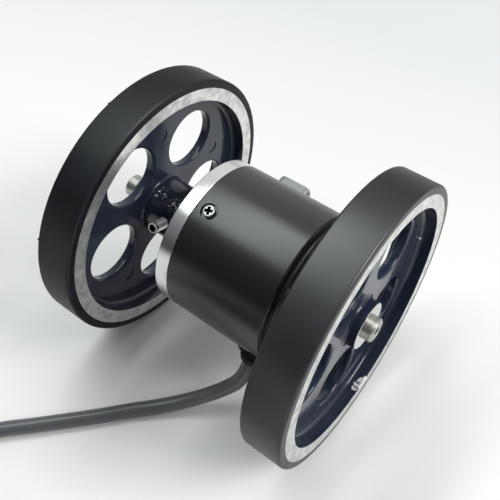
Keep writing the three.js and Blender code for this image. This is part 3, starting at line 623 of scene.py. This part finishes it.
def moulded(name, light, dark, low_rough, high_rough, grain_size=0.3, depth=0.008, gloss=0.5):
    """Moulded plastic or soft PVC: an even, softly shining colour with a fine grain, its size and depth
    in millimetres."""
    material, add, shader, place = new_finish(name)
    cloud = add("TexNoise", {"Vector": place, "Scale": scale_for(6.0)})
    grain = add("TexNoise", {"Vector": place, "Scale": scale_for(grain_size)})
    colour = add("Mix", {SHARE: cloud, FIRST: dark, SECOND: light}, **COLOURS)
    rough = add("MapRange", {"Value": grain, "From Min": 0.3, "From Max": 0.7, "To Min": low_rough,
                             "To Max": high_rough})
    relief = add("Bump", {"Height": grain, "Distance": depth * MM})
    fill(shader, {"Base Color": colour, "Roughness": rough, "Specular IOR Level": gloss,
                  "Normal": relief})
    return material


def disc_glass():
    """Clear glass of the code disc, with chromium tracks 0.4 mm apart round it."""
    material, add, shader, place = new_finish("code disc glass")
    radius = radius_from_shaft(add, place)
    bands = add("TexNoise", {"W": radius, "Scale": scale_for(0.4), "Detail": 0.0}, noise_dimensions="1D")
    track = add("MapRange", {"Value": bands, "From Min": 0.5, "From Max": 0.52})
    colour = add("Mix", {SHARE: track, FIRST: "#E4ECEA", SECOND: "#B8BFBE"}, **COLOURS)
    rough = add("MapRange", {"Value": track, "To Min": 0.04, "To Max": 0.12})
    fill(shader, {"Base Color": colour, "Roughness": rough, "Transmission Weight": 0.9})
    return material


# (spot, reach) of what the enamel shows: the bosses are rough-cast on top, where the left one has a chip
# too, and the right wheel has chips low in its rim. Its last spot, on a cast bump at its back, is a painted
# highlight: a glint painted as bright bare metal.
left_rough_cast = [((-32.4, -2.9, axle_height + 9.5), 3.2), ((-25.2, -4.4, axle_height + 9.0), 3.2)]
right_rough_cast = [((28.0, 2.5, axle_height + 9.7), 4.0)]
left_chips = [((-26.2, -4.0, axle_height + 9.2), 1.0)]
right_chips_and_painted_glint = [((46.8, 0.8, axle_height - 40.5), 1.9), ((47.0, 2.6, axle_height - 40.4), 2.9),
               ((47.4, 4.4, axle_height - 40.3), 2.2), ((47.8, 6.0, axle_height - 40.0), 1.4),
               ((42.6, 40.5, axle_height - 0.3), 2.4)]

# Both wheels wear one enamel; the right wheel's copy is painted lighter, painted light for the light that
# falls into its open side.
enamel_left = black_stoving_enamel("black enamel, left wheel", "#1D2230", "#262D3D",
                                   left_rough_cast, left_chips)
enamel_right = black_stoving_enamel("black enamel, right wheel, painted lighter", "#1E2433", "#2A3143",
                                    right_rough_cast, right_chips_and_painted_glint)
rim_face = faced_aluminium()
stub_face = metal("smooth turned stub face", "#DFDFDE", "#CDCECD", 0.05, 0.1, 1.6)
rubber_left = moulded_rubber("black moulded rubber, left tyre", gloss=0.5, side_gloss=0.15,
                             middle=-left_wheel_offset - wheel_width / 2)
rubber_right = moulded_rubber("black moulded rubber, right tyre", gloss=1.05, side_gloss=0.6,
                              middle=right_wheel_offset + wheel_width / 2)
flange_finish = turned_aluminium()
cover_paint = satin_black_paint()
shaft_steel = ground_steel()
screw_steel = metal("bright nickelled set screw", "#F4F4F2", "#E2E2DF", 0.24, 0.4)
plated_steel = metal("bright plated screw steel", "#D6D7D8", "#B4B5B6", 0.16, 0.3)
dulled_steel = metal("dulled zinc-plated screw head", "#C2C3C4", "#86888A", 0.3, 0.5, 0.5)
# Painted light: the pad's top is a pale grey that stands in for the haze of light over it.
pad_painted_haze = metal("pale grey pad, painted haze", "#95989A", "#87898B", 0.35, 0.5, 1.2)
# Painted shade: a near-black finish laid in sockets, thread roots, cross recesses and centre drills, where
# little light reaches.
painted_recess_shade = metal("painted shade in screw recesses", "#101011", "#080809", 0.5, 0.7)
bearing_steel = metal("ground bearing steel", "#CDCED0", "#B9BABC", 0.1, 0.18)
black_oxide = metal("blackened spring steel", "#3A3A3C", "#242426", 0.3, 0.45)
brass = metal("turned brass", "#C9A25E", "#AE8746", 0.22, 0.36)
seal_rubber = moulded("black seal rubber", "#1B1B1C", "#131314", 0.6, 0.75)
bush_nylon = moulded("black moulded nylon", "#0D0E10", "#08090A", 0.4, 0.52, gloss=0.18)
black_plastic = moulded("black moulded polycarbonate", "#1B1C1E", "#151618", 0.42, 0.55)
white_nylon = moulded("white connector nylon", "#E8E5DC", "#DCD9CF", 0.4, 0.5)
board_resin = moulded("green lacquered board", "#22623E", "#184A2E", 0.25, 0.35, 0.6)
sheath_pvc = moulded("grey soft PVC sheath", "#5D5F62", "#4C4E51", 0.26, 0.38, 0.5, 0.01)
clear_glass = disc_glass()
lead_colours = {"brown": "#6B4023", "blue": "#2A57A8", "black": "#17181A", "white": "#E6E6E2",
                "orange": "#D8701F"}


# Wheels

def model_tyre(side_name, side, offset, rubber, nib_angles):
    """Rubber band moulded on the rim, with rounded shoulders and small nibs of flash on its edges."""
    inner = rim_radius + tyre_seat_gap
    outline = [(side * (offset + a), r) for a, r in (
        (tyre_lip_set_back, inner), (0, inner + tyre_lip_height), (0, tyre_radius),
        (wheel_width, tyre_radius), (wheel_width, inner + tyre_lip_height),
        (wheel_width - tyre_lip_set_back, inner))]
    tyre = turn(f"rubber_tyre_{side_name}", outline, along_shaft(), [(tyre_shoulder, (2, 3))], 180)
    nib = [(tyre_radius + height, radius) for height, radius in nib_outline]
    nib_along = side * (offset + wheel_width - nib_from_face)
    nibs = repeat(turn("nib", nib, at_origin, steps=16), [outward(nib_along, a) for a in nib_angles])
    smooth(join([tyre, *nibs]))
    fit(tyre, "rotor", "tyre_rubber", [rubber], f"tyre_{side_name}")


def model_wheel(side_name, side, offset, first_hole_angle, enamel):
    """Cast wheel: boss, web with round holes and outer stub inside the rim, its ring faces bare."""
    outline = [
        (-boss_reach, bore_radius), (-boss_reach, boss_radius),
        (web_inner_face, boss_radius), (web_inner_face, rim_inner_radius),
        (0, rim_inner_radius), (0, rim_radius),
        (wheel_width, rim_radius), (wheel_width, rim_inner_radius),
        (web_outer_face, rim_inner_radius), (web_outer_face, stub_radius),
        (wheel_width - stub_recess, stub_radius), (wheel_width - stub_recess, bore_radius)]
    rounds = [(boss_edge, (1,)), (cast_fillet, (2, 3, 8, 9)), (rim_edge, (4, 7)), (stub_edge, (10,)),
              (bore_edge, (0, 11))]
    wheel = turn(f"cast_wheel_{side_name}", [(side * (offset + a), r) for a, r in outline],
                 along_shaft(), rounds, 180)

    web_middle = side * (offset + wheel_width / 2)
    half = web_thickness / 2
    hole = [(-half - cut_past, 0), (-half - cut_past, web_hole_radius + web_hole_edge),
            (-half, web_hole_radius + web_hole_edge)]
    for i in range(1, web_hole_edge_steps + 1):
        bend = math.radians(90 - 90 / web_hole_edge_steps * i)
        hole.append((-half + web_hole_edge * (1 - math.sin(bend)),
                     web_hole_radius + web_hole_edge * (1 - math.cos(bend))))
    hole += [(-height, radius) for height, radius in reversed(hole)]
    angles = [first_hole_angle + 360 / web_hole_count * i for i in range(web_hole_count)]
    cutters = repeat(turn("web_hole", hole, at_origin, steps=72),
                     [off_axis(web_middle, web_hole_circle, angle) for angle in angles])

    # The pin marks lie between the holes, and open towards the body on either wheel
    mark = [(0, 0), (0, pin_mark_radius), (cut_past, pin_mark_radius + pin_mark_flare), (cut_past, 0)]
    mark_floor = side * (offset + web_inner_face + pin_mark_depth)
    turned_round = Matrix.Rotation(math.pi, 4, "X") if side > 0 else at_origin
    cutters += repeat(turn("pin_mark", mark, at_origin, steps=40),
                      [off_axis(mark_floor, pin_mark_circle, angle + 180 / web_hole_count) @ turned_round
                       for angle in angles])
    screw_angle = first_hole_angle + wheel_screw_angle_from_hole
    screw_along = side * (offset - wheel_screw_from_face)
    past = boss_radius + screw_hole_past
    cutters.append(turn("screw_hole", [
        (0, 0), (0, screw_hole_radius), (boss_radius - screw_hole_sink, screw_hole_radius),
        (past, screw_hole_mouth_radius), (past, 0)], outward(screw_along, screw_angle), steps=32))
    combine(wheel, cutters)
    smooth(wheel)
    fit(wheel, "rotor", "wheel_casting", [enamel, rim_face, stub_face], f"wheel_{side_name}")

    def turned_rim(face, spot):
        depth = abs(spot.x) - offset
        on_either_side = depth < rim_edge + 0.05 or depth > wheel_width - rim_edge - 0.05
        return across_shaft(face) and radius_at(spot) > rim_inner_radius - 0.1 and on_either_side

    def turned_stub(face, spot):
        at_end = abs(spot.x) - offset > wheel_width - stub_recess - 0.1
        return across_shaft(face) and radius_at(spot) < stub_radius and at_end

    finish_faces(wheel, 1, turned_rim)
    finish_faces(wheel, 2, turned_stub)


def model_wheel_screw():
    """Hexagon-socket set screw with its real thread, modelled at the origin for both wheels."""
    start = shaft_radius + wheel_screw_gap
    top = start + wheel_screw_length
    rim = top - wheel_screw_rim_height
    core_radius = thread_root_radius + 0.1
    core = turn("core", [
        (start, 0), (start, wheel_screw_point_radius), (start + wheel_screw_point_length, core_radius),
        (rim, core_radius), (rim, wheel_screw_rim_radii[0]), (top, wheel_screw_rim_radii[1]), (top, 0)],
        at_origin, steps=40)
    socket_radius = wheel_screw_socket / math.sqrt(3)
    bpy.ops.mesh.primitive_cylinder_add(vertices=6, radius=socket_radius * MM,
                                        depth=2 * wheel_screw_socket_depth * MM, location=(0, 0, top * MM))
    combine(core, [bpy.context.active_object])

    foot = start + thread_start
    thread = draw_outline("thread", [
        (foot, thread_root_radius), (foot + thread_pitch * thread_crest[0], thread_radius),
        (foot + thread_pitch * thread_crest[1], thread_radius),
        (foot + thread_pitch * thread_foot, thread_root_radius)])
    bpy.ops.mesh.select_all(action="SELECT")
    bpy.ops.mesh.delete(type="ONLY_FACE")
    select_corners(thread, lambda co: co.x < (thread_root_radius + 0.01) * MM)
    bpy.ops.mesh.delete(type="EDGE")
    bpy.ops.object.mode_set(mode="OBJECT")
    wind = thread.modifiers.new("wind", "SCREW")
    wind.axis = "Z"
    wind.angle = 2 * math.pi
    wind.screw_offset = thread_pitch * MM
    wind.iterations = int((wheel_screw_length - unthreaded_length) / thread_pitch)
    wind.steps = wind.render_steps = 32
    wind.use_merge_vertices = True
    pick(thread)
    bpy.ops.object.modifier_apply(modifier=wind.name)
    screw = smooth(join([core, thread]), 25)

    # Painted shade: the socket and the thread's roots get the near-black recess finish.
    def in_painted_shade(face, spot):
        radius = math.hypot(spot.x, spot.y)
        in_socket = radius < socket_radius and spot.z < top - 0.01
        in_groove = thread_root_radius + 0.02 < radius < core_radius + 0.06 and spot.z < top - 0.5
        return in_socket or in_groove

    finish_faces(screw, 1, in_painted_shade)
    return screw


def seat_wheel_screw(pattern, side_name, side, offset, first_hole_angle):
    """A copy of the set screw, standing out of a wheel's boss."""
    screw = set_down(copy_of(pattern, f"socket_set_screw_{side_name}"),
                     outward(side * (offset - wheel_screw_from_face),
                             first_hole_angle + wheel_screw_angle_from_hole))
    fit(screw, "rotor", "bare_steel", [screw_steel, painted_recess_shade], f"wheel_screw_{side_name}")


def model_shaft():
    """Ground through shaft with chamfered ends, centre-drilled, and two clip grooves."""
    half, radius, groove = shaft_half, shaft_radius, shaft_radius - clip_groove_depth
    grooves = []
    for node in ("front_shaft_clip", "rear_shaft_clip"):
        low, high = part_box(node)
        middle = (low[0] + high[0]) / 2 / MM
        start, end = middle - clip_groove_width / 2, middle + clip_groove_width / 2
        grooves += [(start, radius), (start, groove), (end, groove), (end, radius)]
    shaft = turn("ground_shaft", [
        *((depth - half, drilled) for depth, drilled in centre_drill),
        (-half, radius - shaft_chamfer), (shaft_chamfer - half, radius), *grooves,
        (half - shaft_chamfer, radius), (half, radius - shaft_chamfer),
        *((half - depth, drilled) for depth, drilled in reversed(centre_drill))],
        along_shaft(), steps=96)
    smooth(shaft, 28)
    fit(shaft, "rotor", "shaft_steel", [shaft_steel, painted_recess_shade], "shaft")
    # Painted shade: the centre drills get the near-black recess finish.
    mouth_depth, mouth_radius = centre_drill[2]
    finish_faces(shaft, 1, lambda face, spot:
                 radius_at(spot) < mouth_radius and abs(spot.x) < half - mouth_depth)


# Encoder body

def model_front_housing():
    """Turned aluminium flange, spigot and bearing hub; only the flange shows."""
    seat, lip, spigot = bearing_seat_radius, bearing_lip_radius, cover_inner_radius - spigot_gap
    front_end, rear_start = flange_face + front_seat_depth, hub_end - rear_seat_depth
    housing = turn("turned_flange", [
        (flange_face, seat), (flange_face, body_radius), (spigot_start, body_radius),
        (spigot_start, spigot), (spigot_end, spigot), (spigot_end, hub_radius), (hub_end, hub_radius),
        (hub_end, seat), (rear_start, seat), (rear_start, lip), (front_end, lip), (front_end, seat)],
        along_shaft(), [(flange_edge, (0, 1)), (flange_inner_edge, (2,)), (hub_edge, (6, 7))], 144)
    screw_way = [(screw_way_end, 0), (screw_way_end, screw_way_radius),
                 (body_radius + cut_past, screw_way_radius), (body_radius + cut_past, 0)]
    cutters = repeat(turn("screw_way", screw_way, at_origin, steps=24),
                     [outward(cover_screw_along, angle) for angle in cover_screw_angles])
    post_floor = spigot_end - post_hole_depth
    post_way = [(post_floor, 0), (post_floor, post_hole_radius),
                (spigot_end + cut_past, post_hole_radius), (spigot_end + cut_past, 0)]
    cutters += repeat(turn("post_way", post_way, at_origin, steps=24),
                      [off_axis(0, post_circle, angle) for angle in post_angles])
    combine(housing, cutters)
    smooth(housing)
    fit(housing, "encoder_body", "turned_aluminium", [flange_finish], "front_housing")


def model_cover():
    """Cup-shaped cover with the bracket pad on its back, screw recesses and a low step at its end."""
    end = cover_end - cover_step
    cover = turn("black_cover", [
        (cover_start, 0), (cover_start, body_radius), (end, body_radius), (end, cover_step_radius),
        (cover_end, cover_step_radius), (cover_end, 0)],
        along_shaft(), [(cover_edge, (1,)), (cover_end_edge, (2,)), (cover_step_edge, (4,))], 144)
    deselect()
    bpy.ops.mesh.primitive_cube_add(size=MM, location=(0, (cover_inner_radius + pad_reach) / 2 * MM,
                                                       axle_height * MM))
    pad = bpy.context.active_object
    pad.scale = (pad_width, pad_reach - cover_inner_radius, pad_height)
    bpy.ops.object.transform_apply(scale=True, location=True)
    bpy.ops.object.mode_set(mode="EDIT")
    mesh = bmesh.from_edit_mesh(pad.data)
    for edge in mesh.edges:
        edge.select = abs((edge.verts[0].co - edge.verts[1].co).normalized().y) > 0.9
    bmesh.update_edit_mesh(pad.data)
    bpy.ops.mesh.bevel(offset=pad_corner * MM, segments=6)
    select_corners(pad, lambda co: co.y > (pad_reach - 0.01) * MM)
    bpy.ops.mesh.bevel(offset=pad_edge * MM, segments=3)
    bpy.ops.object.mode_set(mode="OBJECT")
    combine(cover, [pad], "UNION")
    mouth, floor = cover_start - cut_past, end - cover_end_wall
    cavity = [(mouth, 0), (mouth, cover_inner_radius), (floor, cover_inner_radius),
              (floor, seal_way_radius), (cover_end + cut_past, seal_way_radius), (cover_end + cut_past, 0)]
    bush_way = [(cover_inner_radius - 2, 0), (cover_inner_radius - 2, bush_way_radius),
                (body_radius + 2, bush_way_radius), (body_radius + 2, 0)]
    cutters = [turn("cavity", cavity, along_shaft(), steps=144),
               turn("bush_way", bush_way, outward(bush_along, bush_angle), steps=32)]
    seat = body_radius - counterbore_depth
    screw_recess = [
        (body_radius - 3, 0), (body_radius - 3, screw_way_radius), (seat, screw_way_radius),
        (seat, counterbore_radius), (body_radius - 0.2, counterbore_radius),
        (body_radius + cut_past, counterbore_mouth_radius), (body_radius + cut_past, 0)]
    cutters += repeat(turn("screw_recess", screw_recess, at_origin, steps=48),
                      [outward(cover_screw_along, angle) for angle in cover_screw_angles])
    tapped_hole = [
        (pad_reach - pad_hole_depth, 0), (pad_reach - pad_hole_depth, pad_hole_radius),
        (pad_reach - pad_hole_sink, pad_hole_radius), (pad_reach + 0.1, pad_hole_mouth_radius),
        (pad_reach + cut_past, pad_hole_mouth_radius), (pad_reach + cut_past, 0)]
    cutters += repeat(turn("tapped_hole", tapped_hole, at_origin, steps=32), [
        Matrix.Translation((0, 0, height * MM)) @ outward(0, 0)
        for height in (-pad_hole_spacing / 2, pad_hole_spacing / 2)])
    combine(cover, cutters)
    smooth(cover)
    fit(cover, "encoder_body", "black_cover", [cover_paint, pad_painted_haze], "cover")
    # The pad's faces get the pale grey painted haze.
    finish_faces(cover, 1, lambda face, spot: radius_at(spot) > body_radius + 0.05)


def model_cover_screws():
    """Small pan-head screws with a cross recess, sunk in the cover's counterbores."""
    seat, top = cover_screw_seat, cover_screw_seat + cover_screw_head_height
    tip = cover_inner_radius - cover_screw_reach
    pattern = turn("cross_head_screw", [
        (tip, 0), (tip, cover_screw_radius), (seat, cover_screw_radius), (seat, cover_screw_head_radius),
        (top, cover_screw_head_radius), (top, 0)], at_origin, [(0.3, (4,)), (0.1, (3,))], 48)
    for turned_by in (0, 90):
        deselect()
        bpy.ops.mesh.primitive_cube_add(size=MM, location=(0, 0, top * MM))
        arm = bpy.context.active_object
        arm.scale = cross_arm
        arm.rotation_euler.z = math.radians(turned_by + cross_turned_by)
        bpy.ops.object.transform_apply(scale=True, rotation=True, location=True)
        bpy.ops.object.mode_set(mode="EDIT")
        select_corners(arm, lambda co: co.z < (top - cross_arm[2] / 4) * MM)
        bpy.ops.transform.resize(value=(cross_taper, cross_taper, 1.0))
        combine(pattern, [arm])
    smooth(pattern, 25)

    # Painted shade: the cross recess and the head's foot, down in its counterbore, get the near-black
    # recess finish.
    def in_painted_shade(face, spot):
        in_cross = seat + 0.1 < spot.z < top - 0.02 and math.hypot(spot.x, spot.y) < cross_arm[0] / 2 - 0.05
        return in_cross or spot.z < seat + 0.5

    finish_faces(pattern, 1, in_painted_shade)
    screws = repeat(pattern, [outward(cover_screw_along, angle) for angle in cover_screw_angles])
    for number, screw in enumerate(screws, 1):
        screw.name = f"cross_head_screw_{number}"
        fit(screw, "encoder_body", "bare_steel", [dulled_steel, painted_recess_shade], f"cover_screw_{number}")


def model_cable_bush():
    """Moulded bush: collar inside the wall, flange outside, and a bulged sleeve with grip rings."""
    bush = turn("moulded_cable_bush", bush_outline, outward(bush_along, bush_angle),
                [(0.35, (5, 6)), (0.3, (8, 9, 10, 12))], 64)
    smooth(bush, 28)
    fit(bush, "encoder_body", "bush_plastic", [bush_nylon], "cable_bush")


# Cable

def coil_point(turns):
    """Middle of the coiled cable: in and out at a steady rate, a layer up where it reverses."""
    layer = int(turns / turns_per_layer)
    within = turns / turns_per_layer - layer
    outward_share = within if layer % 2 else 1 - within
    radius = coil_inner_radius + turns_per_layer * turn_pitch * outward_share
    angle = math.radians(coil_start_angle) + turns * 2 * math.pi
    climbed = 0
    for reversal in range(turns_per_layer, math.ceil(coil_turns), turns_per_layer):
        climbed += min(max((turns - reversal) / climb_turns + 1 / 2, 0), 1)
    return (coil_centre[0] + radius * math.cos(angle), coil_centre[1] + radius * math.sin(angle),
            cable_height + climbed * layer_pitch)


def curve_through(name, points, radius):
    """Round cord as a curve of one open spline through points in millimetres."""
    data = bpy.data.curves.new(name, "CURVE")
    data.dimensions = "3D"
    data.bevel_depth = radius * MM
    data.bevel_resolution = 6
    data.resolution_u = 4
    data.use_fill_caps = True
    spline = data.splines.new("BEZIER")
    spline.bezier_points.add(len(points) - 1)
    for knot, point in zip(spline.bezier_points, points):
        knot.co = Vector(point) * MM
        knot.handle_left_type = knot.handle_right_type = "AUTO"
    obj = bpy.data.objects.new(name, data)
    scene.collection.objects.link(obj)
    return obj


def model_cable():
    """Grey signal cable from the bush to the end of its coil; its stripped leads lie on the coil."""
    steps = int(coil_turns * coil_steps_per_turn)
    points = cable_route + [coil_point(i / coil_steps_per_turn) for i in range(steps + 1)]
    cable = curve_through("signal_cable", points, cable_radius)
    cable.data.materials.append(sheath_pvc)
    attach(cable, "encoder_body")
    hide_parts("cable", "cable_coil")


# Carried-over solids inside the body, in their own finishes

inner_finishes = {
    bearing_steel: ["front_bearing_inner_ring", "front_bearing_outer_ring", "rear_bearing_inner_ring",
                    "rear_bearing_outer_ring", "front_bearing_cage_and_balls",
                    "rear_bearing_cage_and_balls"],
    plated_steel: ["bearing_spacer", "board_screw_1", "board_screw_2", "board_screw_3"],
    black_oxide: ["front_shaft_clip", "rear_shaft_clip", "disc_hub_screw"],
    brass: ["disc_hub", "board_post_1", "board_post_2", "board_post_3"],
    clear_glass: ["code_disc", "lamp"],
    board_resin: ["circuit_board"],
    black_plastic: ["sensor_block", "light_receiver"],
    white_nylon: ["board_connector"],
    seal_rubber: ["shaft_seal"],
}


def dress_inner_solids():
    """Gives the solids inside the body, and the cable's bare leads, their finishes."""
    for finish, nodes in inner_finishes.items():
        for node in nodes:
            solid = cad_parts[node]
            solid.data.materials.clear()
            solid.data.materials.append(finish)
    for name, colour in lead_colours.items():
        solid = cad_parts[f"lead_{name}"]
        solid.data.materials.clear()
        solid.data.materials.append(moulded(f"{name} lead insulation", colour, colour, 0.35, 0.45))


# Floor, light and camera

def area_light(name, place, aim, size, watts, colour):
    """Rectangular studio lamp at a place in metres, turned to the point that it lights."""
    data = bpy.data.lights.new(name, "AREA")
    data.color = colour
    data.shape = "RECTANGLE"
    data.size, data.size_y = size
    data.energy = watts
    lamp = bpy.data.objects.new(name, data)
    lamp.location = place
    lamp.rotation_euler = (Vector(aim) - Vector(place)).to_track_quat("-Z", "Y").to_euler()
    scene.collection.objects.link(lamp)


def set_stage():
    """Plain pale floor under soft studio light, painted greyer towards the back as shade where the light
    falls off. The room is lighter overhead than at the floor, and lightest at the back."""
    deselect()
    bpy.ops.mesh.primitive_plane_add(size=6)
    floor = bpy.context.active_object
    floor.name = "pale_floor"
    material, add, shader, place = new_finish("pale paper floor")
    cloud = add("TexNoise", {"Vector": place, "Scale": scale_for(180.0)})
    paper = add("Mix", {SHARE: cloud, FIRST: "#EEEDEC", SECOND: "#F2F1F0"}, **COLOURS)
    # Painted shade: the floor's colour greys towards the back, for the light that falls off there.
    back = add("SeparateXYZ", {0: place}, "Y")
    far = add("MapRange", {"Value": back, "From Max": 0.2})
    colour = add("Mix", {SHARE: far, FIRST: paper, SECOND: "#DADADB"}, **COLOURS)
    fill(shader, {"Base Color": colour, "Roughness": 0.9, "Specular IOR Level": 0.2})
    floor.data.materials.append(material)

    world = bpy.data.worlds.new("room")
    scene.world = world
    world.use_nodes = True
    add = partial(add_node, world.node_tree)
    direction = add("TexCoord", {}, "Generated")
    axes = add("SeparateXYZ", {0: direction}).node.outputs
    high = add("MapRange", {"Value": axes["Z"], "From Min": 0.1, "From Max": 0.9})
    overhead = add("Mix", {SHARE: high, FIRST: "#3C3E41", SECOND: "#9FA1A4"}, **COLOURS)
    towards_back = add("MapRange", {"Value": axes["Y"], "From Max": 0.7})
    light = add("Mix", {SHARE: towards_back, FIRST: overhead, SECOND: "#F2F2F0"}, **COLOURS)
    fill(world.node_tree.nodes["Background"], {"Color": light, "Strength": 1.0})
    area_light("ceiling_panel", place=(-0.29, 0.04, 0.78), aim=(0, 0, 0.04), size=(0.74, 0.13),
               watts=3.0, colour=(0.92, 1.0, 0.97))
    area_light("broad_soft_lamp", place=(0.78, 0.24, 0.80), aim=(0.1, 0, 0), size=(0.5, 0.5),
               watts=8.4, colour=(1.0, 1.0, 0.99))


def set_camera():
    """Camera where the photograph was taken from: 45.65 degrees down, 37.04 degrees round."""
    data = bpy.data.cameras.new("camera")
    data.lens = camera_lens
    data.sensor_width = 36
    data.shift_x, data.shift_y = camera_shift
    data.clip_start = 0.01
    camera = bpy.data.objects.new("camera", data)
    camera.location = camera_place
    camera.rotation_euler = Vector(camera_direction).to_track_quat("-Z", "Y").to_euler()
    scene.collection.objects.link(camera)
    scene.camera = camera
    scene.view_settings.view_transform = "Standard"


set_camera()
model_cable()
set_stage()
wheel_screw = model_wheel_screw()
for side_name, side, offset, first_hole_angle, enamel, rubber, nib_angles in (
        ("left", -1, left_wheel_offset, left_first_hole_angle, enamel_left, rubber_left,
         left_nib_angles),
        ("right", 1, right_wheel_offset, right_first_hole_angle, enamel_right, rubber_right,
         right_nib_angles)):
    model_wheel(side_name, side, offset, first_hole_angle, enamel)
    model_tyre(side_name, side, offset, rubber, nib_angles)
    seat_wheel_screw(wheel_screw, side_name, side, offset, first_hole_angle)
bpy.data.objects.remove(wheel_screw)
model_shaft()
model_front_housing()
model_cover()
model_cover_screws()
model_cable_bush()
dress_inner_solids()
